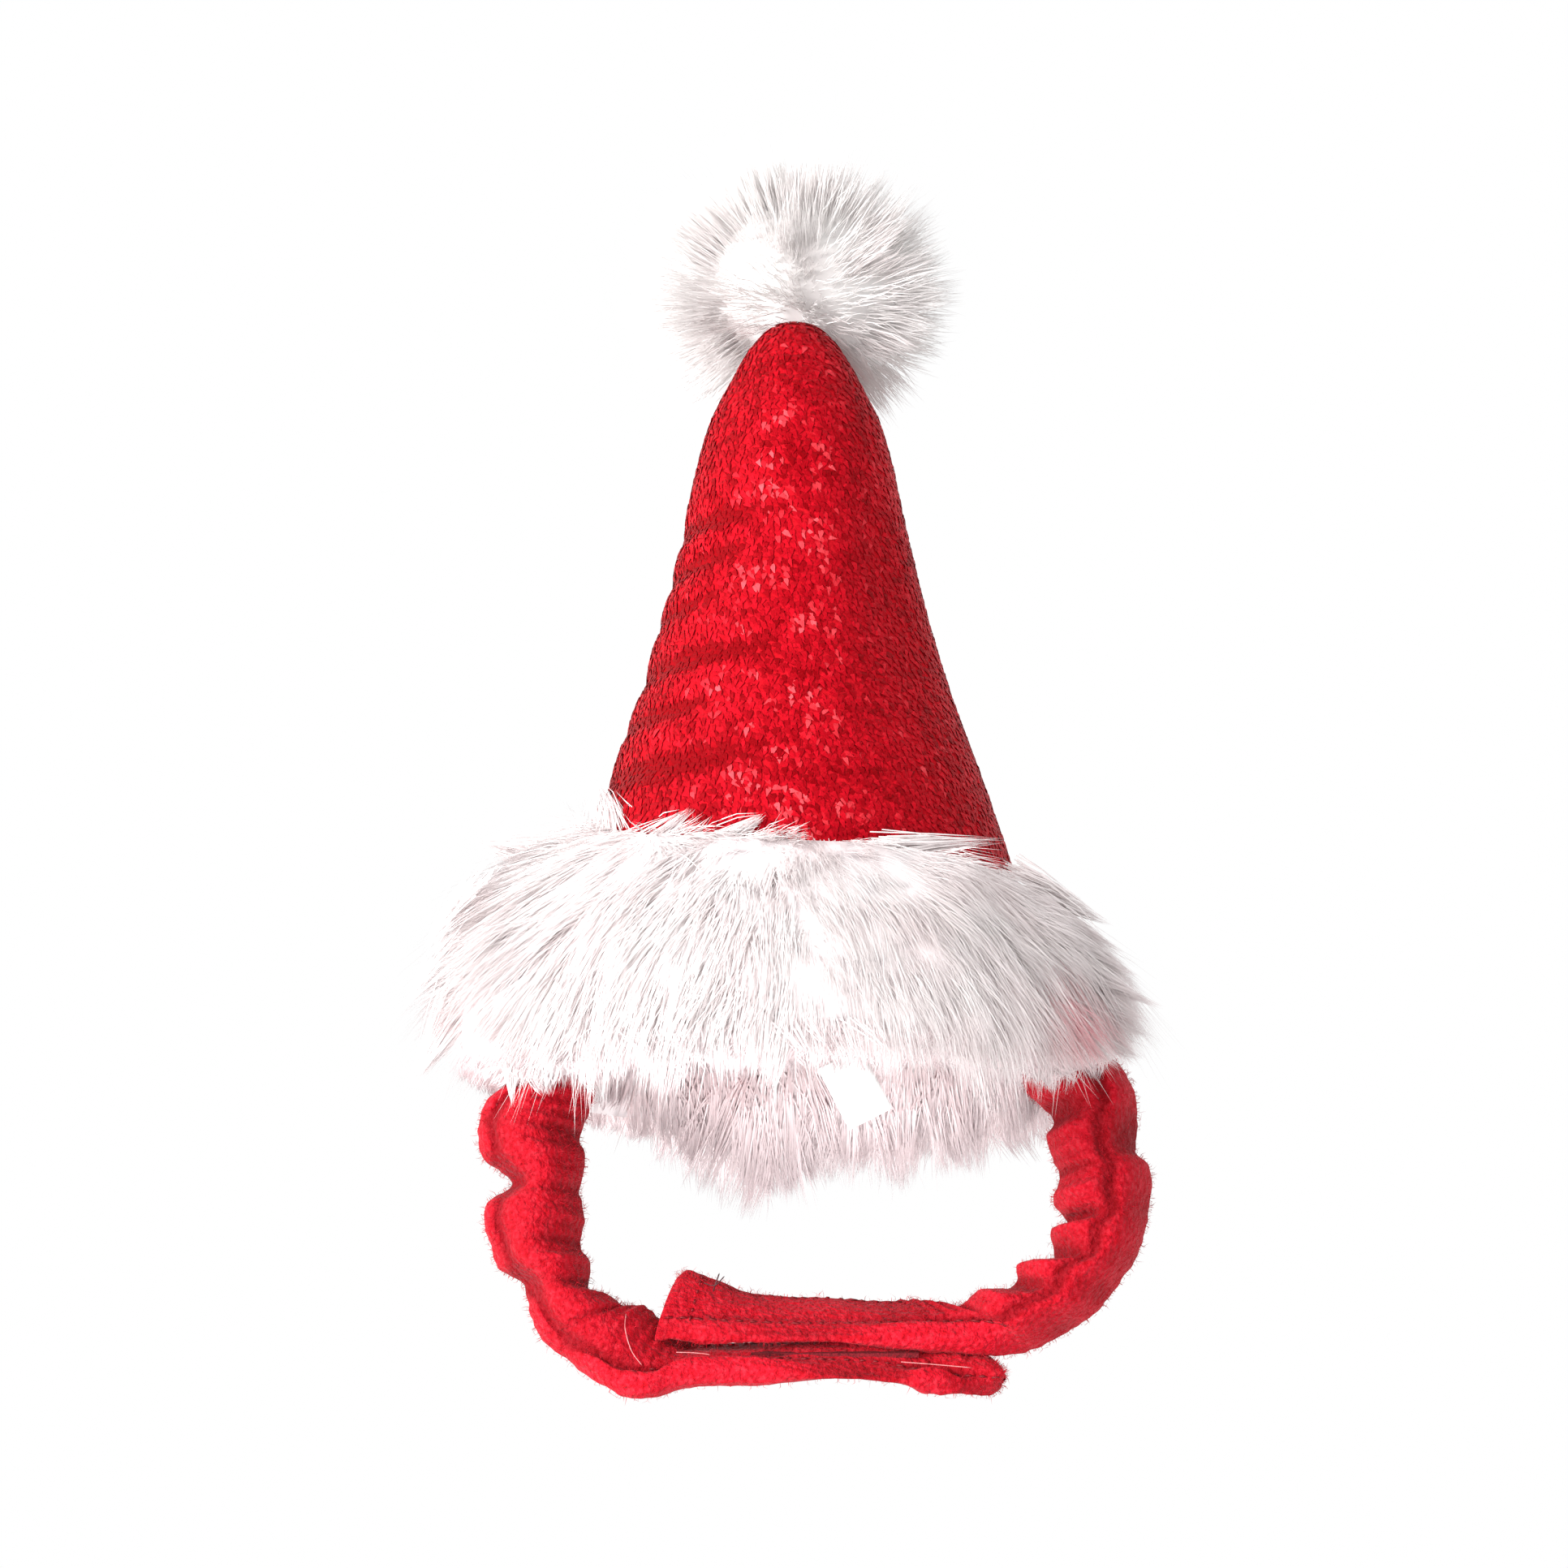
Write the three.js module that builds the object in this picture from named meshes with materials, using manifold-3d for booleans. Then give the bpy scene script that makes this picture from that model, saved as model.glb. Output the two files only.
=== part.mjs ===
// Pet santa hat: a plush cone with a fur pompom and a deep fur brim, and a gathered
// chin strap whose two tabs are pressed together with hook-and-loop tape.
// Millimetres, +Z up along the cone, -Y is the front. The origin is the middle of
// the head opening, in the plane of the cone's lower edge.
import * as THREE from "three";
import { mergeVertices } from "three/addons/utils/BufferGeometryUtils.js";
import Module from "manifold-3d";

// Driving sizes
const GAP = 0.4; // air between neighbouring pieces
const CLOTH_WALL = 2.5; // plush pile with its backing
const TIP_SEAM = 5; // cloth gathered up inside the tip
const CROWN_SIDES = 36;
const STRAP_SIDES = 10;
const STRAP_STEP = 1.7; // length between two sections of a strap
const TAB_STEP = 3.5;
const INNER_GATHER = 5.2; // pitch of the tight gathers on the strap's back edge
const OUTER_PUFF = 17; // pitch of the loose puffs on its front edge

const RED = { color: 0xc4101f, roughness: 0.95, metalness: 0 };
const WHITE = { color: 0xf4efee, roughness: 0.9, metalness: 0 };
const DARK_RED = { color: 0x6a060c, roughness: 0.9, metalness: 0 };
const SATIN = { color: 0xfafaf8, roughness: 0.5, metalness: 0 };

// The cone from its lower edge to its tip: half width across, half depth front to back.
const CROWN_SECTIONS = [
  { z: 0, halfWidth: 56, halfDepth: 47 },
  { z: 22, halfWidth: 51.6, halfDepth: 43.6 },
  { z: 44, halfWidth: 45.6, halfDepth: 39 },
  { z: 63, halfWidth: 39.5, halfDepth: 34.5 },
  { z: 79, halfWidth: 33.8, halfDepth: 30 },
  { z: 97, halfWidth: 28.3, halfDepth: 25.6 },
  { z: 118, halfWidth: 23.4, halfDepth: 21.4 },
  { z: 138, halfWidth: 19, halfDepth: 17.5 },
  { z: 149, halfWidth: 14, halfDepth: 13 },
  { z: 158, halfWidth: 8.9, halfDepth: 8.3 },
  { z: 162, halfWidth: 5, halfDepth: 4.7 },
];
const TIP_HEIGHT = 163.4;
const CROWN_RINGS = 30;
const CROWN_RING_CROWDING = 1.25; // rings stand closer towards the tip

// Dents pressed into the cone. turn is degrees round from the right: 180 is the left
// side and 270 the front. lean is the rise in millimetres for each degree of turn.
const DENTS = [
  { turn: 204, z: 67, spanTurn: 32, spanZ: 3.6, lean: 0.08, depth: 1.7 },
  { turn: 202, z: 78, spanTurn: 28, spanZ: 3.0, lean: 0.08, depth: 1.3 },
  { turn: 204, z: 89, spanTurn: 32, spanZ: 3.2, lean: 0.09, depth: 1.4 },
  { turn: 202, z: 107, spanTurn: 28, spanZ: 3.0, lean: 0.08, depth: 1.1 },
  { turn: 204, z: 119, spanTurn: 30, spanZ: 3.0, lean: 0.09, depth: 1.2 },
  { turn: 226, z: 142, spanTurn: 20, spanZ: 9, lean: 0, depth: 1.1 },
  { turn: 314, z: 98, spanTurn: 16, spanZ: 24, lean: 0, depth: 1.4 },
  { turn: 60, z: 84, spanTurn: 40, spanZ: 4, lean: 0.05, depth: 1.3 },
];

// The fur brim round the cone: pile is how far it stands out from the cloth, waist the
// height of its widest line, top and bottom its upper and lower edges.
const BRIM_SECTIONS = [
  { turn: 0, pile: 19, waist: 17, top: 43, bottom: -1.6 },
  { turn: 45, pile: 18, waist: 14, top: 46, bottom: -9 },
  { turn: 90, pile: 18, waist: 12, top: 48, bottom: -14 },
  { turn: 135, pile: 20, waist: 15, top: 52, bottom: -9 },
  { turn: 180, pile: 26, waist: 19, top: 58, bottom: -1.6 },
  { turn: 225, pile: 22, waist: 18, top: 50, bottom: -5 },
  { turn: 270, pile: 19, waist: 16, top: 46, bottom: -7 },
  { turn: 315, pile: 18, waist: 15, top: 44, bottom: -5 },
  { turn: 360, pile: 19, waist: 17, top: 43, bottom: -1.6 },
];
const BRIM_TOP_LIP = 1.6; // how far the fur's upper edge stands off the cloth
const BRIM_TOP_DROP = 2; // how far below that edge it meets the cloth
const BRIM_SHOULDER = 1.1; // below 1 is fuller, above 1 is leaner
const BRIM_BELLY = 0.75;
const BRIM_WALL_STEPS = 5;
const BRIM_ARC_STEPS = 9;

const POMPOM = { x: 1.2, y: 20, z: 174.5, halfWidth: 30.6, halfDepth: 25.5, halfHeight: 27.6 };
const POMPOM_SIDES = 22;
const POMPOM_RINGS = 14;

// Routes of the chin strap, from inside the rim down to the tabs and along them.
// flare turns the band's inner face towards the front, in degrees.
const STRAP_RIGHT = [
  { x: 44.5, y: 0, z: 14, flare: 0, width: 15, thick: 4.4 },
  { x: 45.6, y: 0, z: 4, flare: 2, width: 15, thick: 4.4 },
  { x: 47.8, y: 0, z: -4, flare: 14, width: 16, thick: 5.4 },
  { x: 54.6, y: -1.5, z: -10, flare: 40, width: 19, thick: 7.2 },
  { x: 60.8, y: -2, z: -15.5, flare: 48, width: 20, thick: 8 },
  { x: 63.4, y: -2, z: -22.5, flare: 50, width: 20, thick: 8.2 },
  { x: 62.6, y: -2, z: -31, flare: 47, width: 20, thick: 8.2 },
  { x: 57.2, y: -1, z: -39.2, flare: 40, width: 19.5, thick: 8.2 },
  { x: 47.4, y: 0, z: -45.6, flare: 33, width: 18.5, thick: 7.4 },
  { x: 40.5, y: 0, z: -48, flare: 28, width: 17.6, thick: 6.8 },
  { x: 35.8, y: 0, z: -49, flare: 26, width: 17.4, thick: 6.4 },
];
const STRAP_LEFT = [
  { x: -44.5, y: 0, z: 14, flare: 0, width: 15, thick: 4.4 },
  { x: -45.6, y: 0, z: 4, flare: 2, width: 15, thick: 4.4 },
  { x: -47.6, y: 0, z: -4, flare: 14, width: 16, thick: 5.4 },
  { x: -52, y: -1.5, z: -10, flare: 42, width: 21, thick: 7.4 },
  { x: -54, y: -2, z: -16, flare: 52, width: 22, thick: 8.2 },
  { x: -53.2, y: -2, z: -20.5, flare: 52, width: 18.5, thick: 7.6 },
  { x: -53.4, y: -2, z: -27, flare: 52, width: 21.5, thick: 8.2 },
  { x: -50.8, y: -2, z: -35.5, flare: 46, width: 20, thick: 8 },
  { x: -46.8, y: -1.5, z: -43.4, flare: 38, width: 17.5, thick: 7.4 },
  { x: -40.9, y: -1.5, z: -49.8, flare: 30, width: 17, thick: 6.4 },
];
const TAB_RIGHT = [
  { x: 34.6, y: 0, z: -49.2, flare: 26, width: 17.4, thick: 6.2 },
  { x: 20, y: 0.6, z: -49.4, flare: 24, width: 17.4, thick: 6 },
  { x: 4, y: 0.6, z: -49.4, flare: 24, width: 17.4, thick: 6 },
  { x: -11, y: 0.6, z: -48.8, flare: 27, width: 17.4, thick: 6 },
  { x: -19, y: 0, z: -47, flare: 40, width: 17, thick: 5.8 },
  { x: -25, y: -0.5, z: -45, flare: 52, width: 16.5, thick: 5.4 },
  { x: -27.4, y: -0.5, z: -44.2, flare: 55, width: 14, thick: 4 },
];
const TAB_LEFT = [
  { x: -40.2, y: -1.5, z: -50.6, flare: 29, width: 17, thick: 6.2 },
  { x: -35.6, y: -2, z: -55, flare: 26, width: 17, thick: 6 },
  { x: -28.5, y: -2.5, z: -58.2, flare: 22, width: 17, thick: 5.6 },
  { x: -14, y: -2.6, z: -58.7, flare: 20, width: 17, thick: 5.4 },
  { x: 6, y: -2.6, z: -58.6, flare: 20, width: 17, thick: 5.4 },
  { x: 26, y: -2.6, z: -59, flare: 20, width: 17, thick: 5.6 },
  { x: 38, y: -2.6, z: -59.8, flare: 20, width: 16, thick: 5.8 },
  { x: 42, y: -2.6, z: -60, flare: 20, width: 10, thick: 4.4 },
];
const CLOSURE = { x: 8, y: -1, z: -54, tilt: 21, long: 34, wide: 11, thick: 0.9 };
const LABEL = { x: 11.8, y: -40.4, z: -6.9, wide: 9.6, long: 14, thick: 0.8, tilt: 27 };

// Softness of the bands: SOFT_CORNER of 1 gives an oval section and 0 a square one, and
// the gathers swell the front edge, the back edge and the thickness by these shares.
const SOFT_CORNER = 0.7;
const GATHER_SWELL = { front: 0.1, back: 0.08, thick: 0.1 };
const GATHER_FADE = 6; // the gathers reach their full depth after a sixth of the length

// The value of a column of a table at a place between its rows, on a smooth curve.
function between(rows, by, column, at) {
  const last = rows.length - 1;
  const next = rows.findIndex((row) => row[by] > at);
  const i = next < 0 ? last - 1 : Math.max(next - 1, 0);
  const slope = (k) => {
    const low = rows[Math.max(k - 1, 0)];
    const high = rows[Math.min(k + 1, last)];
    return (high[column] - low[column]) / (high[by] - low[by]);
  };
  const [a, b] = [rows[i], rows[i + 1]];
  const span = b[by] - a[by];
  const t = (at - a[by]) / span;
  return (
    a[column] * (1 + 2 * t) * (1 - t) ** 2 +
    b[column] * t * t * (3 - 2 * t) +
    span * (slope(i) * t * (1 - t) ** 2 - slope(i + 1) * t * t * (1 - t))
  );
}

// A closed surface over rings of points: a tube with capped ends, or a ring of rings.
function loft(rings, { joined = false } = {}) {
  const sides = rings[0].length;
  const positions = rings.flat().flatMap((p) => [p.x, p.y, p.z]);
  const index = [];
  const bands = joined ? rings.length : rings.length - 1;
  for (let r = 0; r < bands; r++) {
    const low = r * sides;
    const high = ((r + 1) % rings.length) * sides;
    for (let k = 0; k < sides; k++) {
      const l = (k + 1) % sides;
      index.push(low + k, low + l, high + l, low + k, high + l, high + k);
    }
  }
  const cap = (ring, start, turned) => {
    const middle = new THREE.Vector3();
    ring.forEach((p) => middle.addScaledVector(p, 1 / sides));
    const centre = positions.length / 3;
    positions.push(middle.x, middle.y, middle.z);
    for (let k = 0; k < sides; k++) {
      const l = (k + 1) % sides;
      index.push(centre, start + (turned ? k : l), start + (turned ? l : k));
    }
  };
  if (!joined) {
    cap(rings[0], 0, false);
    cap(rings.at(-1), (rings.length - 1) * sides, true);
  }
  return new THREE.BufferGeometry()
    .setAttribute("position", new THREE.Float32BufferAttribute(positions, 3))
    .setIndex(index);
}

// How far the dents push the cone's cloth in at a place on it.
function dentDepth(turn, z) {
  return DENTS.reduce((sum, dent) => {
    const away = ((turn - dent.turn + 540) % 360) - 180;
    const up = z - dent.z - dent.lean * away;
    return sum + dent.depth * Math.exp(-((away / dent.spanTurn) ** 2) - (up / dent.spanZ) ** 2);
  }, 0);
}

// A point of the cone at a turn and height, moved out along its level normal.
function crownPoint(turn, z, out) {
  const level = Math.max(z, 0);
  const wide = between(CROWN_SECTIONS, "z", "halfWidth", level);
  const deep = between(CROWN_SECTIONS, "z", "halfDepth", level);
  const angle = THREE.MathUtils.degToRad(turn);
  const normal = new THREE.Vector2(Math.cos(angle) * deep, Math.sin(angle) * wide).normalize();
  const push = out - dentDepth(turn, level);
  return new THREE.Vector3(
    wide * Math.cos(angle) + normal.x * push,
    deep * Math.sin(angle) + normal.y * push,
    z,
  );
}

const turns = (count) => Array.from({ length: count }, (_, k) => (k * 360) / count);

// The cone's outline as rings of points from its lower edge up, moved out by a distance.
function crownRings(out, top) {
  const heights = Array.from({ length: CROWN_RINGS }, (_, k) => {
    const share = k / (CROWN_RINGS - 1);
    return CROWN_SECTIONS.at(-1).z * (1 - (1 - share) ** CROWN_RING_CROWDING);
  });
  const around = turns(CROWN_SIDES);
  return heights.filter((z) => z <= top).map((z) => around.map((turn) => crownPoint(turn, z, out)));
}

// Draws the middles of a loft's two end caps, its last two points, to places on the axis.
function pointed(shell, firstZ, lastZ) {
  const places = shell.getAttribute("position");
  places.setXYZ(places.count - 2, 0, 0, firstZ);
  places.setXYZ(places.count - 1, 0, 0, lastZ);
  return shell;
}

// The cone as a solid plug, a little larger than the cloth, for pressing into the pompom.
function crownPlug(grow) {
  return pointed(loft(crownRings(grow, TIP_HEIGHT)), 0, TIP_HEIGHT + grow);
}

// The hollow cone, open below: its inside wall from the tip down, then its outside wall.
function crownGeometry() {
  const insideTop = TIP_HEIGHT - CLOTH_WALL - TIP_SEAM;
  const inside = crownRings(-CLOTH_WALL, insideTop).reverse();
  const shell = loft([...inside, ...crownRings(0, TIP_HEIGHT)]);
  return pointed(shell, insideTop + CLOTH_WALL, TIP_HEIGHT);
}

// The fur brim hugs the cone's outside and rolls under its lower edge.
function brimGeometry() {
  const sections = turns(CROWN_SIDES).map((turn) => {
    const at = (column) => between(BRIM_SECTIONS, "turn", column, turn);
    const [pile, waist, top, bottom] = ["pile", "waist", "top", "bottom"].map(at);
    const points = [];
    for (let k = 0; k < BRIM_WALL_STEPS; k++) {
      const share = k / (BRIM_WALL_STEPS - 1);
      points.push(crownPoint(turn, (top - BRIM_TOP_DROP) * (1 - share) - GAP * share, GAP));
    }
    points.push(crownPoint(turn, -GAP, -CLOTH_WALL));
    for (let k = 0; k <= BRIM_ARC_STEPS; k++) {
      const angle = Math.PI * (k / BRIM_ARC_STEPS - 0.5);
      const [high, low] = [top - waist, waist - bottom];
      const z = waist + Math.sin(angle) * (angle > 0 ? high : low);
      const edge = angle > 0 ? BRIM_TOP_LIP : -CLOTH_WALL / 2;
      const fullness = angle > 0 ? BRIM_SHOULDER : BRIM_BELLY;
      points.push(crownPoint(turn, z, edge + (pile - edge) * Math.cos(angle) ** fullness));
    }
    return points;
  });
  return loft(sections.reverse(), { joined: true });
}

// The rows of a route at even steps along it, each with its place and length run.
function stations(route, step) {
  const line = new THREE.CatmullRomCurve3(
    route.map((row) => new THREE.Vector3(row.x, row.y, row.z)),
    false,
    "centripetal",
  );
  const rows = route.map((row, k) => ({ ...row, k }));
  const count = Math.round(line.getLength() / step);
  return Array.from({ length: count + 1 }, (_, n) => {
    const u = line.getUtoTmapping(n / count);
    const at = (column) => between(rows, "k", column, u * (rows.length - 1));
    return {
      place: line.getPoint(u),
      along: line.getTangent(u),
      run: (n / count) * line.getLength(),
      share: n / count,
      flare: THREE.MathUtils.degToRad(at("flare")),
      width: at("width"),
      thick: at("thick"),
    };
  });
}

// A cosine or sine with its peaks flattened, for the outline of a soft section.
const flattened = (value) => Math.sign(value) * Math.abs(value) ** SOFT_CORNER;

// A soft flat band along a route. side is 1 for the right strap and -1 for the left.
// gather is 1 where the band is drawn up on its elastic and 0 where it is plain.
function bandGeometry(route, side, step, gather) {
  const front = new THREE.Vector3(0, -1, 0);
  const rings = stations(route, step).map((at) => {
    const [turned, square] = [Math.sin(at.flare), Math.cos(at.flare)];
    const inner = new THREE.Vector3().crossVectors(at.along, front).multiplyScalar(side).normalize();
    const face = inner.clone().multiplyScalar(square).addScaledVector(front, turned);
    const across = front.clone().multiplyScalar(square).addScaledVector(inner, -turned);
    const drawn = gather * Math.min(1, at.share * GATHER_FADE, (1 - at.share) * GATHER_FADE);
    const tight = drawn * Math.sin((2 * Math.PI * at.run) / INNER_GATHER);
    const loose = drawn * Math.sin((2 * Math.PI * at.run) / OUTER_PUFF);
    return Array.from({ length: STRAP_SIDES }, (_, k) => {
      const angle = (2 * Math.PI * k) / STRAP_SIDES;
      const swell = Math.cos(angle) > 0 ? GATHER_SWELL.front * loose : GATHER_SWELL.back * tight;
      const u = (at.width / 2) * (1 + swell) * flattened(Math.cos(angle));
      const v = (at.thick / 2) * (1 + GATHER_SWELL.thick * tight) * flattened(Math.sin(angle));
      return at.place.clone().addScaledVector(across, u).addScaledVector(face, v);
    });
  });
  if (side < 0) rings.forEach((ring) => ring.reverse());
  return loft(rings);
}

// A geometry as a solid that can be cut, and back again.
const wasm = await Module();
wasm.setup();

function solid(geometry) {
  const bare = new THREE.BufferGeometry().setAttribute("position", geometry.getAttribute("position"));
  bare.setIndex(geometry.index);
  const merged = mergeVertices(bare, 1e-4);
  return new wasm.Manifold(
    new wasm.Mesh({
      numProp: 3,
      vertProperties: merged.getAttribute("position").array,
      triVerts: new Uint32Array(merged.index.array),
    }),
  );
}

function geometryOf(made) {
  const mesh = made.getMesh();
  return new THREE.BufferGeometry()
    .setAttribute("position", new THREE.BufferAttribute(mesh.vertProperties, 3))
    .setIndex(new THREE.BufferAttribute(mesh.triVerts, 1));
}

// The pompom's ball, pressed against the back of the tip that it is sewn to.
function pompomGeometry() {
  const ball = new THREE.SphereGeometry(1, POMPOM_SIDES, POMPOM_RINGS);
  ball.scale(POMPOM.halfWidth, POMPOM.halfHeight, POMPOM.halfDepth);
  ball.rotateX(Math.PI / 2);
  ball.translate(POMPOM.x, POMPOM.y, POMPOM.z);
  ball.deleteAttribute("normal");
  ball.deleteAttribute("uv");
  return geometryOf(solid(ball).subtract(solid(crownPlug(GAP))));
}

function labelGeometry() {
  const { wide, long, thick } = LABEL;
  const outline = new THREE.Shape();
  outline.moveTo(-wide / 2, -long / 2);
  outline.lineTo(wide / 2, -long / 2);
  outline.lineTo(wide / 2, long / 2);
  outline.lineTo(-wide / 2, long / 2);
  const tag = new THREE.ExtrudeGeometry(outline, { depth: thick, bevelEnabled: false });
  tag.translate(0, 0, -thick / 2);
  tag.rotateX(Math.PI / 2);
  return tag;
}

function piece(name, geometry, look) {
  const mesh = new THREE.Mesh(geometry, new THREE.MeshStandardMaterial(look));
  mesh.name = name;
  return mesh;
}

const hat = new THREE.Group();
hat.add(piece("crown", crownGeometry(), RED));
hat.add(piece("brim_fur", brimGeometry(), WHITE));
hat.add(piece("pompom", pompomGeometry(), WHITE));
hat.add(piece("strap_right", bandGeometry(STRAP_RIGHT, 1, STRAP_STEP, 1), RED));
hat.add(piece("strap_left", bandGeometry(STRAP_LEFT, -1, STRAP_STEP, 1), RED));
hat.add(piece("tab_right", bandGeometry(TAB_RIGHT, 1, TAB_STEP, 0), RED));
hat.add(piece("tab_left", bandGeometry(TAB_LEFT, -1, TAB_STEP, 0), RED));

const tape = new THREE.BoxGeometry(CLOSURE.long, CLOSURE.wide, CLOSURE.thick);
const closure = piece("closure_patch", tape, DARK_RED);
closure.position.set(CLOSURE.x, CLOSURE.y, CLOSURE.z);
closure.rotation.x = THREE.MathUtils.degToRad(CLOSURE.tilt);
hat.add(closure);

const label = piece("label", labelGeometry(), SATIN);
label.position.set(LABEL.x, LABEL.y, LABEL.z);
label.rotation.y = THREE.MathUtils.degToRad(-LABEL.tilt);
hat.add(label);

export default hat;
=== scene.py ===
import math

import bpy
import numpy as np
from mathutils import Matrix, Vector, kdtree, noise
from mathutils.bvhtree import BVHTree


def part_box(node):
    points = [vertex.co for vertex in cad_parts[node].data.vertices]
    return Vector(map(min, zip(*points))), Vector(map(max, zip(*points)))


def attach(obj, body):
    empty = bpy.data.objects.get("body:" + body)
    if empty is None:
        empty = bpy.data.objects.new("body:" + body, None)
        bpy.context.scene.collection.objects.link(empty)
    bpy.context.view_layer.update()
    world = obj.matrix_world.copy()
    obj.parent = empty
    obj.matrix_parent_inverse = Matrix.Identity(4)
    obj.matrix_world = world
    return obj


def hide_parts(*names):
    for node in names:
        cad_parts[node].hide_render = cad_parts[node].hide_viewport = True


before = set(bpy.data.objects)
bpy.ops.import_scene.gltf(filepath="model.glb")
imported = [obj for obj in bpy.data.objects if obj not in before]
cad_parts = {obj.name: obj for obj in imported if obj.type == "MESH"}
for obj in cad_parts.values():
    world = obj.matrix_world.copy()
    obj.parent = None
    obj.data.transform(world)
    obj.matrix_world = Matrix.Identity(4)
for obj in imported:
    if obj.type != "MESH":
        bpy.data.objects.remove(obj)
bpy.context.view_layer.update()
MM = 0.001
FULL_TURN = 2 * math.pi
UP = np.array([0.0, 0.0, 1.0])
FRONT = np.array([0.0, -1.0, 0.0])
LEVEL = np.array([1, 1, 0])  # times a vector, its level part

# Camera: the photograph looks at the hat from the front and a little from below.
PHOTO_PIXELS = 1932
PIXELS_PER_MM = 6.0
CAMERA_DISTANCE = 1.3
CAMERA_RISE = math.radians(12)
AIM_ACROSS = -2.3 * MM
AIM_UP = 62.3 * MM
SENSOR = 36.0

# Floor and lights: place, aim, size and power
FLOOR_HEIGHT = -0.32
FLOOR_RADIUS = 6.0
FLOOR_CORNERS = 64
KEY_PLACE = np.array([-1.18, -0.98, 0.16])
KEY_LIGHT = (KEY_PLACE, (0, 0, 0.06), 0.9, 46)
FILL_LIGHT = ((0.0, -0.50, -0.29), (0.0, 0.045, 0.005), 0.08, 15.5)
FILL_CONE = math.radians(11)
FILL_BLEND = 0.7             # softness of the cone's edge

# Crown
CLOTH_DEPTH = 0.25 * MM      # the backing cloth lies this far below the cone's outer form
CLOTH_THICK = 1.0 * MM
PILE_ROW = 1.38 * MM         # pitch of the tufts down the cone
PILE_COLUMN = 0.98 * MM      # and round it
PILE_SLANT = 0.36            # shift of each row round the cone, in columns
PILE_STEP = 10               # columns that are left out together as the cone narrows
PILE_FROM = 34 * MM          # the pile starts under the fur's upper edge
PILE_TO_TIP = 1.0 * MM       # and ends this far from the tip
TUFT_POINTS = [(0.05, -0.2), (0.25, 0.5), (0.17, 2.0)]   # millimetres out of the cloth and down it
TUFT_RADII = np.array([0.50, 0.60])      # at each of these points but the tip
TUFT_SHADES = [0.0, 0.7, 1.0]            # from its root's shade to its tip's
TUFT_FLATNESS = 0.16         # thickness of a tuft as a share of its width
FOLD_FULL = 0.22 * MM        # depth at which a fold has its full painted shade of dark red
# Folds of the cone's left side: the turn and height of each, how far it spreads round (in degrees) and
# up (in millimetres), how much it rises to the degree, and its depth.
FOLDS = [
    (211, 63.0, 41, 2.8, 0.04, 0.60),
    (205, 74.5, 36, 2.3, 0.04, 0.48),
    (210, 86.0, 40, 2.5, 0.05, 0.56),
    (199, 97.5, 30, 1.8, 0.07, 0.44),
    (205, 107.5, 34, 1.9, 0.07, 0.50),
    (208, 116.5, 40, 2.5, 0.04, 0.52),
]

# Bands: a strap and its tab are one length of fleece. Each row gives the gathered inner edge and the
# outer edge as the photograph shows them (across and up its picture plane), how far the two edges lie
# behind and before the hat's middle, the thickness, and where the sewn line runs (-1 inner, 1 outer).
BAND_COLUMNS = "inner_x inner_up outer_x outer_up back front thick sewn"
BAND_RIGHT = [
    (45.0, 14.0, 45.6, 13.6, 7.5, -7.5, 4.4, 0.3),
    (45.7, 6.7, 52.0, 9.2, 7.0, -7.5, 4.6, 0.3),
    (47.3, -0.3, 64.0, 6.2, 5.5, -8.0, 5.4, 0.35),
    (49.3, -3.0, 68.3, 2.5, 5.0, -8.5, 6.4, 0.3),
    (53.2, -6.7, 69.8, -1.3, 4.5, -8.5, 6.8, 0.2),
    (51.7, -10.3, 70.3, -6.7, 4.5, -8.5, 7.6, 0.1),
    (53.0, -15.2, 70.0, -13.0, 4.5, -8.5, 7.2, 0.12),
    (54.0, -18.3, 72.2, -15.8, 4.5, -8.5, 7.6, 0.15),
    (52.7, -23.2, 73.0, -20.3, 4.5, -8.5, 8.0, 0.1),
    (55.8, -27.7, 72.5, -25.0, 4.5, -8.5, 7.2, 0.06),
    (52.2, -29.2, 71.3, -30.0, 4.8, -8.0, 7.8, 0.0),
    (52.8, -35.2, 69.2, -35.0, 5.0, -8.0, 7.4, -0.06),
    (45.8, -35.7, 65.0, -40.8, 5.5, -8.0, 7.4, -0.08),
    (44.8, -40.3, 60.8, -45.8, 6.0, -8.0, 6.8, -0.06),
    (37.0, -41.3, 55.0, -49.5, 6.5, -7.5, 6.6, 0.0),
    (33.2, -44.2, 48.3, -52.5, 7.5, -7.5, 6.0, 0.1),
    (28.3, -43.8, 42.5, -52.4, 8.0, -7.5, 5.0, 0.25),
    (20.0, -44.0, 30.0, -51.2, 8.0, -7.4, 4.4, 0.4),
    (3.3, -44.0, 10.0, -50.6, 8.0, -7.4, 4.2, 0.4),
    (-8.3, -42.7, -6.7, -50.6, 7.5, -7.0, 4.2, 0.4),
    (-15.8, -39.7, -18.3, -50.6, 6.0, -6.5, 4.2, 0.4),
    (-21.7, -37.6, -26.0, -50.4, 4.8, -5.6, 4.0, 0.4),
    (-23.6, -38.6, -28.5, -50.4, 4.6, -5.6, 3.6, 0.4),
]
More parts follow.
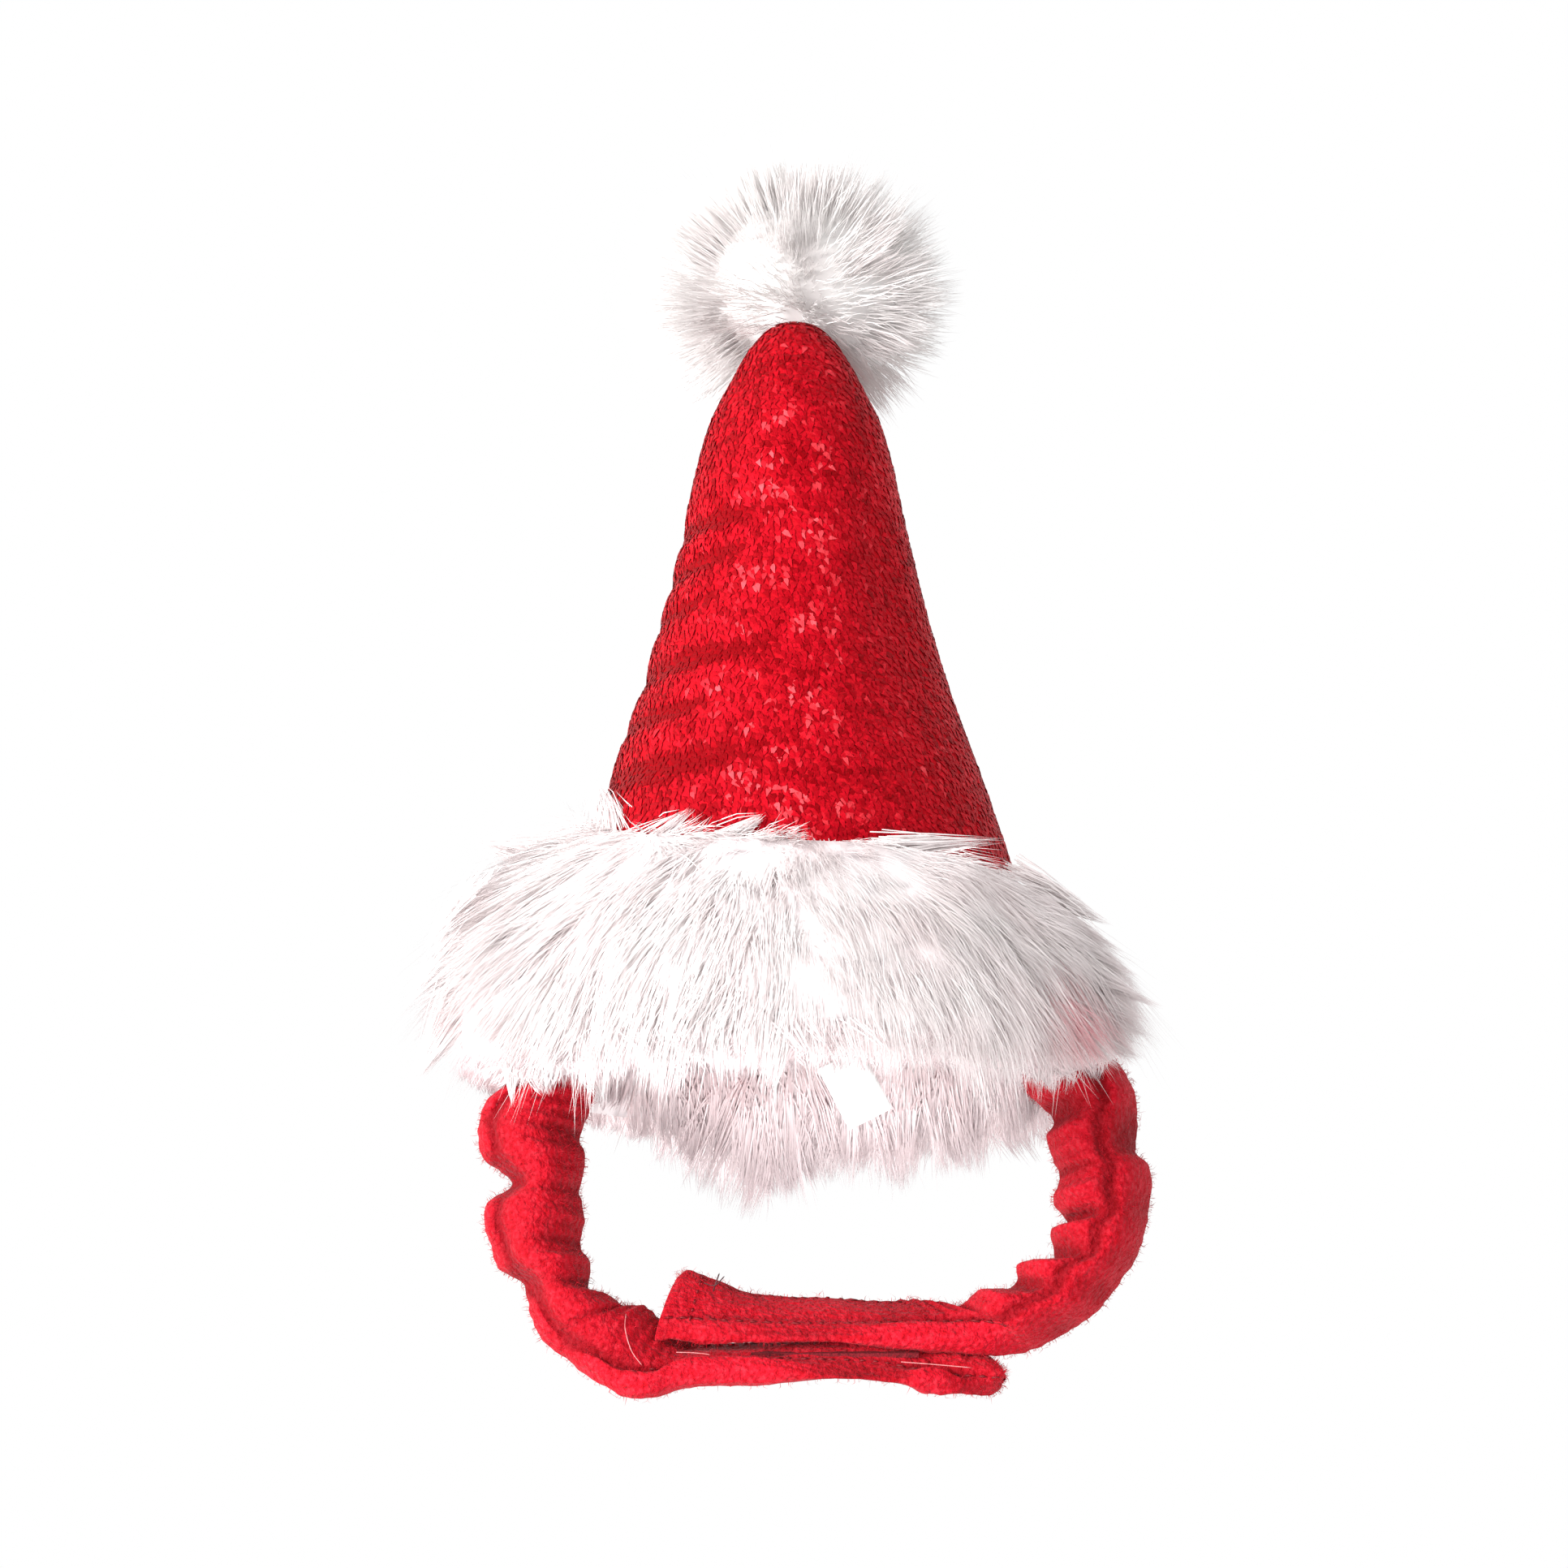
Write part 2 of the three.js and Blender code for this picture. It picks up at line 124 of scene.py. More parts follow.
BAND_LEFT = [
    (-44.6, 14.0, -45.4, 13.6, 7.5, -7.5, 4.4, 0.6),
    (-40.5, 6.7, -52.0, 6.7, 6.5, -7.5, 4.6, 0.6),
    (-40.8, -0.8, -61.2, -0.8, 5.5, -8.0, 5.6, 0.65),
    (-42.7, -5.7, -63.7, -3.7, 5.0, -8.5, 6.6, 0.7),
    (-44.3, -10.5, -64.8, -8.2, 4.5, -8.5, 7.4, 0.75),
    (-43.5, -13.0, -64.2, -12.5, 4.5, -8.5, 7.8, 0.75),
    (-43.2, -15.8, -62.7, -15.3, 4.5, -8.5, 7.4, 0.75),
    (-43.5, -18.3, -60.7, -16.8, 4.5, -8.5, 7.0, 0.75),
    (-44.3, -20.8, -58.0, -19.8, 4.5, -8.0, 6.4, 0.7),
    (-43.8, -23.3, -62.7, -23.2, 4.5, -8.5, 7.0, 0.75),
    (-43.3, -27.2, -63.7, -27.2, 4.5, -8.5, 7.8, 0.75),
    (-43.8, -32.5, -62.3, -31.7, 4.5, -8.5, 7.6, 0.75),
    (-41.8, -35.5, -60.2, -36.5, 4.5, -8.5, 7.6, 0.72),
    (-41.8, -40.8, -55.3, -39.8, 4.8, -8.0, 7.0, 0.7),
    (-38.2, -41.8, -54.3, -45.2, 5.0, -8.0, 7.2, 0.7),
    (-35.0, -44.2, -52.0, -49.5, 5.5, -8.0, 7.0, 0.7),
    (-33.6, -44.4, -49.0, -52.5, 5.0, -9.0, 6.6, 0.7),
    (-30.4, -44.8, -42.5, -57.0, 5.0, -10.0, 6.2, 0.65),
    (-26.0, -48.6, -34.8, -60.2, 5.5, -10.0, 6.0, 0.6),
    (-20.0, -51.6, -29.5, -60.2, 6.2, -10.4, 5.0, 0.55),
    (-12.0, -52.0, -23.2, -57.6, 6.2, -10.4, 4.4, 0.5),
    (3.3, -51.8, -8.0, -57.2, 6.2, -10.4, 4.2, 0.5),
    (20.0, -52.0, 14.0, -58.0, 6.2, -10.4, 4.2, 0.5),
    (30.0, -52.9, 28.0, -59.6, 6.0, -10.4, 4.4, 0.5),
    (36.0, -53.8, 35.0, -61.2, 5.8, -10.3, 4.4, 0.5),
    (39.6, -55.0, 39.2, -61.6, 4.8, -9.4, 4.0, 0.5),
    (41.4, -56.6, 41.3, -60.8, 3.0, -7.2, 3.2, 0.5),
    (42.2, -58.4, 42.2, -59.4, 1.0, -4.6, 1.8, 0.5),
]
STITCH_LINES = [             # band, place across it, and its first and last table row
    ("right", 0.55, 15.5, 21.4),
    ("right", -0.65, 17.0, 20.4),
    ("left", 0.45, 18.5, 25.5),
    ("left", -0.60, 19.5, 25.0),
]
STITCH_PITCH = 2.6           # in millimetres, as the bands are
STITCH_LONG = 1.8
STITCH_RADIUS = 0.27 * MM
TAB_SEAM_ROW = 20.5          # where a seam crosses the right tab
TAB_SEAM_ACROSS = np.linspace(-0.8, 0.5, 6)      # where its stitches start
TAB_SEAM_LONG = 0.18
THREADS = [                  # loose threads, as points across, up and behind
    ("thread_pale", [(-34.2, -44.7, -12), (-34.3, -47.5, -14), (-33.0, -51.7, -15), (-30.8, -54.7, -15)]),
    ("thread_edge_left", [(-24.0, -52.3, -12), (-20.5, -52.4, -12), (-17.0, -52.8, -11.5)]),
    ("thread_edge_right", [(21.3, -54.2, -12), (28.0, -54.7, -12), (36.0, -55.4, -12)]),
    ("thread_dark_long", [(-18.6, -39.2, -4), (-16.4, -39.5, -6), (-14.3, -37.6, -6)]),
    ("thread_dark_short", [(-16.7, -40.9, -4), (-16.2, -39.2, -6), (-15.4, -37.0, -6)]),
]
PALE_THREAD_RADIUS = 0.10 * MM
DARK_THREAD_RADIUS = 0.15 * MM
BAND_SOFT_CORNER = 0.9       # below 1, a band's section is fuller than an ellipse
BAND_ROOF = {1: 8.5, -1: 6.0}    # how far a strap's middle stands before its edges: right, left
BAND_STEPS = 13              # mesh rows from one table row to the next
BAND_SIDES = 56
TAB_TO_STRAP = (26, 46)      # a tab turns into a strap between these distances from the hat's middle
FUZZ_FIBRES = 3600           # loose fibres on each band
FUZZ_LONG = 1.2 * MM
FUZZ_RADII = [0.07 * MM, 0.055 * MM]

# Label
LABEL_TILT = math.radians(27)
LABEL_WIDE, LABEL_LONG, LABEL_HALF_THICK = 9.6 * MM, 14 * MM, 0.28 * MM

# Fur
STRAND_SHARES = np.array([0.0, 0.5, 1.0])    # the points of a strand, as shares of its length
STRAND_TAPER = np.array([1.0, 0.8])          # its width at each of them but the tip
STRAND_SIDES = 3
STRAND_ROLL = 0.16           # how far a strand is turned about its length, in radians
STRAND_FLATNESS = 0.35       # thickness of a strand as a share of its width
STRAND_WAVE = 0.35 * MM      # how far its tip is waved to the side
STRAND_RADIUS = {"brim": 0.12 * MM, "lock": 0.15 * MM, "fringe": 0.22 * MM, "pompom": 0.13 * MM}
LOOSE_SHARE = 0.08           # share of the strands that hardly follow their lock
LOOSE_PULL = 0.1
BRIM_STRANDS = 17200         # on each half of the brim
FRINGE_STRANDS = 13000
POMPOM_STRANDS = 11500
BRIM_LOCKS = [(20, 0.30), (130, 0.32)]       # strands to a lock, and how far it is drawn in
FRINGE_LOCKS = [(24, 0.55), (90, 0.50)]
POMPOM_LOCKS = [(14, 0.40), (70, 0.30)]
UNDERFUR = 0.87              # share of the fur's depth that is dense underfur
CORE_FROM = 0.12             # rise at which the underfur's outside begins
CORE_OFF_CLOTH = 0.15 * MM   # gap between the underfur and the cloth
BRIM_SLOPE = 0.30            # share of the brim's rise over which the underfur thins out at its top
ROOT_DEPTH = 0.6 * MM        # strands of the brim start this deep in the underfur
BRIM_REACH = (9 * MM, 32 * MM)   # least and greatest length of its strands, before tufts and wisps
MISSED_REACH = 10 * MM       # length of a strand whose ray misses the outer form
LINING_TOP = 20              # how far up the inside the fur goes, in millimetres
FRINGE_REACH = (4 * MM, 34 * MM)     # least and greatest length of the strands inside the rim
FRINGE_REFLECTED_RED = 0.12          # painted reflection: how much of the red parts' reflected light is painted on them
FRINGE = [                   # how low the fur inside the rim hangs, by turn
    (0, 2.0), (15, -5.0), (27, -9.5), (42, -9.5), (52, -11.7), (64, -14.2), (74, -12.8), (86, -10.4),
    (92, -17.8), (107, -16.2), (115, -11.2), (124, -4.5), (133, -6.2), (140, 0.7), (180, 2.0),
    (225, -5.0), (315, -5.0), (360, 2.0),
]
RED_GAP = (57.0, 15.0, 6.0)  # where the strap shows red through the fur: across, up, and how wide
POMPOM_KNOT = np.array([1.2, 13, 166]) * MM      # where the pompom is tied to the tip
POMPOM_CORE = 0.84           # size of its core as a share of its outer form
POMPOM_CORE_SHIFT = np.array([0, 2, 2]) * MM
POMPOM_TIPS = (0.98, 1.28)   # where its strands end, as shares of its outer form
POMPOM_ROOTS = (0.42, 0.6)   # and where they start, as shares of the way to their tips
POMPOM_SWIRL = 7 * MM
POMPOM_LEAN = np.array([-2.6, 0, 1.8]) * MM      # its fur is longer on one side and above
# Locks that stand out of the brim: from where to where the photograph shows them, how far behind the
# hat's middle they start and end, and how wide they are.
LOCK_COLUMNS = "root_x root_up tip_x tip_up root_back tip_back wide"
LOCKS = [
    (-37.5, 49.0, -40.2, 62.0, -14, -12, 3.0),
    (-34.5, 48.0, -38.0, 60.0, -20, -19, 2.6),
    (-30.5, 48.5, -21.5, 56.8, -28, -33, 2.4),
    (-18.0, 48.0, -7.0, 55.6, -36, -39, 2.4),
    (17.0, 49.0, 41.0, 50.8, -38, -30, 1.4),
    (14.0, 48.0, 33.0, 50.2, -39, -33, 1.4),
    (45.0, 44.5, 58.0, 38.6, -14, -16, 1.4),
    (48.0, 41.0, 63.5, 34.0, -14, -16, 1.6),
    (49.0, 38.0, 62.5, 30.6, -18, -20, 1.4),
    (51.0, 36.0, 65.8, 28.6, -16, -18, 1.6),
    (51.0, 32.5, 66.0, 25.2, -20, -22, 1.4),
    (53.0, 31.0, 69.0, 23.4, -18, -20, 1.6),
    (53.0, 27.0, 69.5, 19.6, -22, -23, 1.4),
    (55.0, 25.0, 73.6, 17.2, -18, -20, 1.5),
    (56.0, 21.0, 71.0, 14.4, -20, -21, 1.3),
    (56.0, 18.0, 71.8, 11.2, -16, -18, 1.5),
    (55.0, 13.0, 69.8, 6.8, -14, -16, 1.5),
    (50.0, 18.0, 65.0, 5.2, -24, -22, 1.4),
    (44.0, 24.0, 63.8, 7.2, -30, -26, 2.4),
    (46.0, 27.0, 61.0, 13.5, -29, -27, 1.6),
    (47.0, 10.0, 52.0, 0.6, -24, -18, 2.0),
    (50.0, 9.0, 56.4, 2.4, -22, -18, 1.6),
    (-43.0, 8.5, -39.2, -1.4, -22, -16, 2.2),
    (-52.0, 8.5, -49.8, -0.2, -20, -16, 2.2),
    (-58.0, 7.0, -57.4, -2.8, -18, -14, 1.0),
    (-64.0, 41.0, -75.0, 30.0, -8, -10, 2.8),
    (-66.0, 30.0, -79.0, 18.0, -8, -10, 2.8),
    (-66.0, 20.0, -77.5, 2.0, -8, -10, 2.8),
    (-52.0, 48.0, -64.5, 50.0, -6, -8, 2.8),
]
LOCK_STRANDS = 48            # strands in a lock for each millimetre of its width


# Arrays and meshes
def unit(vectors):
    return vectors / np.maximum(np.linalg.norm(vectors, axis=-1, keepdims=True), 1e-12)


def columns(names, rows):
    """A table as a dict of its named columns."""
    return dict(zip(names.split(), np.array(rows, dtype=float).T))


def smoothstep(low, high, values):
    share = np.clip((values - low) / (high - low), 0, 1)
    return share * share * (3 - 2 * share)


def signed_power(values, power):
    return np.sign(values) * np.abs(values) ** power


def round_angles(count):
    """Angles evenly spaced round a full turn."""
    return np.arange(count) * FULL_TURN / count


def ways_round(tilts, turns):
    """A grid of unit vectors, by tilt above the level and by turn."""
    tilt, angle = np.meshgrid(tilts, round_angles(turns), indexing="ij")
    return np.stack([np.cos(tilt) * np.cos(angle), np.cos(tilt) * np.sin(angle), np.sin(tilt)], -1)


def run_along(points):
    """Distance run at each point of a line."""
    return np.concatenate([[0], np.cumsum(np.linalg.norm(np.diff(points, axis=0), axis=1))])


def smooth_noise(points, size, seed):
    """Smooth noise from -1 to 1 at points, with features about size wide."""
    shift = Vector((seed * 7.31, seed * 3.17, seed * 5.73))
    return np.array([noise.noise(Vector(p) / size + shift) for p in points])


def between(grid, share, turn):
    """A grid's values at shares up its rows (0 to 1) and turns round them, between its points."""
    rows, turns = grid.shape[:2]
    row = np.clip(share, 0, 1) * (rows - 1)
    column = turn / FULL_TURN % 1 * turns
    below, left = np.minimum(row.astype(int), rows - 2), column.astype(int) % turns
    right = (left + 1) % turns
    up, on = row - below, column - column.astype(int)
    if grid.ndim > 2:
        up, on = up[:, None], on[:, None]
    low = grid[below, left] * (1 - on) + grid[below, right] * on
    high = grid[below + 1, left] * (1 - on) + grid[below + 1, right] * on
    return low * (1 - up) + high * up


def picture_point(across, up, behind):
    """The point at a depth behind the hat's middle that shows at a place of the photograph."""
    height = (up + behind * math.sin(CAMERA_RISE)) / math.cos(CAMERA_RISE)
    return np.stack([across, behind, height], -1)


def new_object(name, data):
    thing = bpy.data.objects.new(name, data)
    bpy.context.collection.objects.link(thing)
    return thing


def new_mesh(name, vertices, faces, material, smooth=True):
    """An object from an array of vertices and a list of face index arrays."""
    mesh = bpy.data.meshes.new(name)
    counts = np.concatenate([np.full(len(f), f.shape[1]) for f in faces])
    loops = np.concatenate([f.ravel() for f in faces]).astype(np.int32)
    starts = np.concatenate([[0], np.cumsum(counts)[:-1]]).astype(np.int32)
    mesh.vertices.add(len(vertices))
    mesh.vertices.foreach_set("co", np.ascontiguousarray(vertices, dtype=np.float32).ravel())
    mesh.loops.add(len(loops))
    mesh.loops.foreach_set("vertex_index", loops)
    mesh.polygons.add(len(counts))
    mesh.polygons.foreach_set("loop_start", starts)
    mesh.update(calc_edges=True)
    mesh.validate()
    mesh.polygons.foreach_set("use_smooth", np.full(len(mesh.polygons), smooth))
    mesh.materials.append(material)
    return new_object(name, mesh)


def grid_faces(rows, across, joined=False):
    """Quads over closed rows of points. Where they are joined, the last row meets the first."""
    low, left = np.meshgrid(np.arange(rows if joined else rows - 1), np.arange(across), indexing="ij")
    high, right = (low + 1) % rows, (left + 1) % across
    quads = [low * across + left, low * across + right, high * across + right, high * across + left]
    return np.stack(quads, -1).reshape(-1, 4)


def closed_mesh(name, rings, material, shifts=(0, 0), flipped=False):
    """An object over rings of points, with a fan to the shifted middle of the first and last ring."""
    rows, across = rings.shape[:2]
    ends = [rings[0].mean(0) + shifts[0], rings[-1].mean(0) + shifts[1]]
    left = np.arange(across)
    right = (left + 1) % across
    last = (rows - 1) * across
    fans = [np.stack([np.full(across, rows * across), right, left], -1),
            np.stack([np.full(across, rows * across + 1), last + left, last + right], -1)]
    faces = [grid_faces(rows, across), np.concatenate(fans)]
    if flipped:
        faces = [f[:, ::-1] for f in faces]
    return new_mesh(name, np.concatenate([rings.reshape(-1, 3), ends]), faces, material)


def number(piece, name, values):
    """Stores one number for each vertex, for the material to read."""
    layer = piece.data.attributes.new(name, "FLOAT", "POINT")
    layer.data.foreach_set("value", np.ascontiguousarray(values, dtype=np.float32))


def keep(piece, slot, *nodes):
    """Makes a piece ride on the hat and hides the nodes it stands for. slot is not used."""
    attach(piece, "root")
    if nodes:
        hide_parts(*nodes)
    return piece


def box_middle(name):
    """Middle and half size of a node's box."""
    low, high = np.array(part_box(name))
    return (low + high) / 2, (high - low) / 2


def node_tree(name):
    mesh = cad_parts[name].data
    return BVHTree.FromPolygons([v.co for v in mesh.vertices], [tuple(p.vertices) for p in mesh.polygons])


def cast(tree, starts, ways):
    """Distance along each ray to a surface, or nan where it meets none."""
    hits = [tree.ray_cast(Vector(s), Vector(w))[3] for s, w in zip(starts, ways)]
    return np.array([np.nan if h is None else h for h in hits])


# Materials
WHITE = (1.0, 1.0, 1.0)
SHEEN_ROUGHNESS = 0.45


class Look:
    """A material with one shader, and the nodes that give its surface detail."""

    def __init__(self, name, colour, roughness, sheen=0.0, gloss_tint=WHITE, specular=0.3):
        self.material = bpy.data.materials.new(name)
        self.material.use_nodes = True
        self.tree = self.material.node_tree
        self.surface = self.tree.nodes["Principled BSDF"]
        sockets = {
            "Base Color": (*colour, 1), "Roughness": roughness, "Specular IOR Level": specular,
            "Sheen Weight": sheen, "Sheen Roughness": SHEEN_ROUGHNESS,
            "Sheen Tint": (*gloss_tint, 1), "Specular Tint": (*gloss_tint, 1)}
        for socket, value in sockets.items():
            self.surface.inputs[socket].default_value = value

    def add(self, kind, **sockets):
        """A new node with numbers on its sockets."""
        node = self.tree.nodes.new("ShaderNode" + kind)
        for socket, value in sockets.items():
            node.inputs[socket].default_value = value
        return node

    def link(self, output, node, socket):
        self.tree.links.new(output, node.inputs[socket])

    def texture(self, kind, **sockets):
        """A pattern in the object's own coordinates, its scale in features to the metre."""
        texture = self.add(kind, **sockets)
        self.link(self.add("TexCoord").outputs["Object"], texture, "Vector")
        return texture.outputs["Fac"]

    def noise(self, scale, detail=3.0):
        return self.texture("TexNoise", Scale=scale, Detail=detail)

    def attribute(self, name):
        """A number that the piece stores for each vertex."""
        attribute = self.add("Attribute")
        attribute.attribute_name = name
        return attribute.outputs["Fac"]

    def ramp(self, source, *stops):
        """Colours by a number. Each stop is a place and its colour."""
        ramp = self.add("ValToRGB")
        elements = ramp.color_ramp.elements
        while len(elements) < len(stops):
            elements.new(0.5)
        for element, (place, colour) in zip(elements, stops):
            element.position = place
            element.color = (*colour, 1)
        self.link(source, ramp, "Fac")
        return ramp.outputs["Color"]

    def product(self, first, second):
        mix = self.add("Mix")
        mix.data_type = "RGBA"
        mix.blend_type = "MULTIPLY"
        mix.inputs["Factor"].default_value = 1.0
        self.link(first, mix, "A")
        self.link(second, mix, "B")
        return mix.outputs["Result"]

    def colour(self, colour, *others):
        """Gives the surface a colour, times any others."""
        for other in others:
            colour = self.product(colour, other)
        self.link(colour, self.surface, "Base Color")

    def bump(self, height, strength, distance):
        bump = self.add("Bump", Strength=strength, Distance=distance)
        self.link(height, bump, "Height")
        self.link(bump.outputs["Normal"], self.surface, "Normal")


def plush_material():
    """Red plush: each tuft has its own red, a little deeper at its root, and the painted shade, highlights
    and light of its stored tone.
    """
    look = Look("red_plush", (0.45, 0.004, 0.014), 0.5, 0.02, (1, 0.2, 0.24), 0.12)
    # the dark end takes the folds' painted shade, the pale pink end the painted highlights
    tone_and_painted_light = look.ramp(look.attribute("tone_and_painted_light"), (0.0, (0.19, 0.000, 0.002)), (0.5, (0.46, 0.003, 0.011)),
                     (1.0, (0.68, 0.080, 0.095)))
    along = look.ramp(look.attribute("along"), (0.0, (0.95, 0.9, 0.9)), (0.6, WHITE))
    look.colour(tone_and_painted_light, along)
    look.bump(look.noise(2600, 2), 0.5, 0.3 * MM)
    return look.material


def cloth_material():
    """The woven backing below the pile, with painted shade in the folds."""
    look = Look("red_backing", (0.40, 0.003, 0.010), 0.9, 0.05, (1, 0.3, 0.3), 0.1)
    blotch = look.ramp(look.noise(300), (0.3, (0.40, 0.003, 0.008)), (0.7, (0.50, 0.006, 0.014)))
    # painted shade in the folds
    folded = look.ramp(look.attribute("folded"), (0.0, WHITE), (0.8, (0.55, 0.3, 0.4)))
    look.colour(blotch, folded)
    look.bump(look.noise(1800), 0.6, 0.3 * MM)
    return look.material


def fleece_material():
    """Red fleece of the straps: soft, with a fine nap, painted shade in the valleys and a paler painted
    highlight on the ridges.
    """
    look = Look("red_fleece", (0.45, 0.004, 0.014), 0.7, 0.12, (1, 0.30, 0.34), 0.2)
    blotch = look.ramp(look.noise(1000), (0.30, (0.32, 0.001, 0.005)), (0.50, (0.40, 0.004, 0.013)),
                       (0.70, (0.48, 0.016, 0.028)))
    # painted shade in the valleys and painted highlight on the ridges, by the stored relief
    raised = look.ramp(look.attribute("raised"), (0.0, (0.50, 0.42, 0.42)), (0.5, (0.92, 0.90, 0.90)),
                       (1.0, (1.08, 1.15, 1.15)))
    look.colour(blotch, raised)
    look.bump(look.noise(900), 1.0, 1.1 * MM)
    return look.material


def fur_material(name, root, middle, tip):
    """White faux fur: painted shade from root to tip, a faint pink cast in patches, and red: the straps'
    red seen beside them, and a painted reflection of red inside the rim.
    """
    look = Look(name, middle, 0.5, 0.15, (1, 0.95, 0.95), 0.4)
    # painted shade along each strand, from root to tip
    along = look.ramp(look.attribute("along"), (0.0, root), (0.55, middle), (1.0, tip))
    patch = look.ramp(look.noise(70, 2), (0.35, WHITE), (0.75, (0.99, 0.945, 0.95)))
    # the straps' red seen beside them, and the painted reflection of red on the fur inside the rim
    red_seen_and_reflected = look.ramp(look.attribute("red_seen_and_reflected"), (0.0, WHITE), (1.0, (0.90, 0.42, 0.46)))
    look.colour(along, patch, red_seen_and_reflected)
    return look.material


def satin_material():
    """White ribbon with a fine weave."""
    look = Look("white_satin", (0.90, 0.90, 0.89), 0.4, 0.1, WHITE, 0.5)
    look.bump(look.texture("TexWave", Scale=900), 0.25, 0.1 * MM)
    look.colour(look.ramp(look.noise(250), (0.3, (0.76, 0.76, 0.755)), (0.7, (0.84, 0.84, 0.83))))
    return look.material


def tape_material():
    """Dark red tape with a rough face; its dark tone is partly its own and partly painted shade of the
    slot between the tabs.
    """
    look = Look("hook_and_loop", (0.12, 0.003, 0.006), 0.9)
    loops = look.noise(2200, 2)
    look.colour(look.ramp(loops, (0.3, (0.06, 0.001, 0.003)), (0.7, (0.18, 0.004, 0.010))))
    look.bump(loops, 0.8, 0.4 * MM)
    return look.material


def mottled_material(name, low, high, scale=1500, roughness=0.6):
    """One tone that varies a little from place to place."""
    look = Look(name, low, roughness)
    look.colour(look.ramp(look.noise(scale), (0.3, low), (0.7, high)))
    return look.material


RED_PLUSH = plush_material()
RED_BACKING = cloth_material()
RED_FLEECE = fleece_material()
# Fur tones at root, middle and tip. The darkening toward the tips is painted shade that sets the tips off
# against the white; the pompom's roots are painted a little darker too.
WHITE_FUR = fur_material("white_fur", (0.77, 0.717, 0.712), (0.73, 0.685, 0.680), (0.66, 0.610, 0.610))
POMPOM_FUR = fur_material("white_pompom", (0.68, 0.657, 0.650), (0.72, 0.698, 0.688), (0.63, 0.611, 0.602))
# Painted light and shade: the underfur and the fur inside the rim are painted much brighter than the white
# fur at the roots, lifting the shade under the front fur and between the strands, and dark at the tips.
UNDERFUR_PAINTED_LIGHT = fur_material("white_underfur_painted_light", (0.97, 0.935, 0.935), (0.85, 0.800, 0.805), (0.38, 0.340, 0.348))
SATIN = satin_material()
RED_THREAD = mottled_material("red_thread", (0.10, 0.0005, 0.002), (0.18, 0.002, 0.006))
PALE_THREAD = mottled_material("pale_thread", (0.44, 0.11, 0.11), (0.58, 0.24, 0.24))
DARK_THREAD = mottled_material("dark_thread", (0.03, 0.008, 0.010), (0.07, 0.015, 0.018))
TAPE = tape_material()


# Surfaces read from the frame
class ConeSurface:
    """Points of the crown's outside by meridian share (0 at the rim, 1 at the tip) and turn.

    Rays to the axis find them. They are level up to a pivot on it, and tilt from there up to the tip.
    """

    rows, turns = 150, 180
    above_rim = 0.05 * MM
    pivot_below_tip = 22 * MM
    level_share = 0.8            # share of the rows below the pivot
    steepest = math.radians(89.5)
    ray_start = 0.2              # distance from the axis

    def __init__(self):
        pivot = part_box("crown")[1][2] - self.pivot_below_tip
        share = np.linspace(0, 1, self.rows)
        heights = self.above_rim + np.minimum(share / self.level_share, 1) * pivot
        tilts = np.clip((share - self.level_share) / (1 - self.level_share), 0, 1) * self.steepest
        ways = ways_round(tilts, self.turns)
        centres = heights[:, None, None] * UP
        starts = centres + ways * self.ray_start
        found = cast(node_tree("crown"), starts.reshape(-1, 3), -ways.reshape(-1, 3))
        radius = self.soften(self.ray_start - found.reshape(self.rows, self.turns))
        self.points = centres + ways * radius[..., None]
        self.groove = self.folds()
        self.points -= self.normals() * self.groove[..., None]
        self.facing = self.normals()
        steps = np.linalg.norm(np.diff(self.points, axis=0), axis=-1).mean(1)
        self.length = np.concatenate([[0], np.cumsum(steps)])

    @staticmethod
    def soften(radius):
        """Rounds off the facets."""
        for _ in range(6):
            radius = 0.25 * np.roll(radius, 1, 1) + 0.5 * radius + 0.25 * np.roll(radius, -1, 1)
            padded = np.pad(radius, ((1, 1), (0, 0)), mode="edge")
            radius = 0.25 * padded[:-2] + 0.5 * radius + 0.25 * padded[2:]
        return radius

    def normals(self):
        around = np.roll(self.points, -1, 1) - np.roll(self.points, 1, 1)
        up = np.gradient(self.points, axis=0)
        return unit(np.cross(around, up))

    def folds(self):
        """Depth of the folds below the surface. Each groove has a ridge above it."""
        turn = np.degrees(np.arctan2(self.points[..., 1], self.points[..., 0])) % 360
        depth = np.zeros(turn.shape)
        for fold_turn, height, wide, high, lean, deep in FOLDS:
            away = (turn - fold_turn + 180) % 360 - 180
            up = self.points[..., 2] / MM - height - lean * away
            ridge = 0.7 * np.exp(-((up - 2.2 * high) / (1.6 * high)) ** 2)
            groove = np.exp(-(up / high) ** 2) - ridge
            depth += deep * MM * groove * np.exp(-(away / wide) ** 4)
        return depth

    def share_of_height(self, height):
        """Meridian share at a height up the cone."""
        return np.interp(height, self.points[:, :, 2].mean(1), np.linspace(0, 1, self.rows))

    def stand(self, height, turn):
        """Points on the cone at heights and turns, and the level way out from them."""
        share = self.share_of_height(np.maximum(height, 0))
        place = between(self.points, share, turn)
        place[:, 2] = height
        return place, unit(between(self.facing, share, turn) * LEVEL)


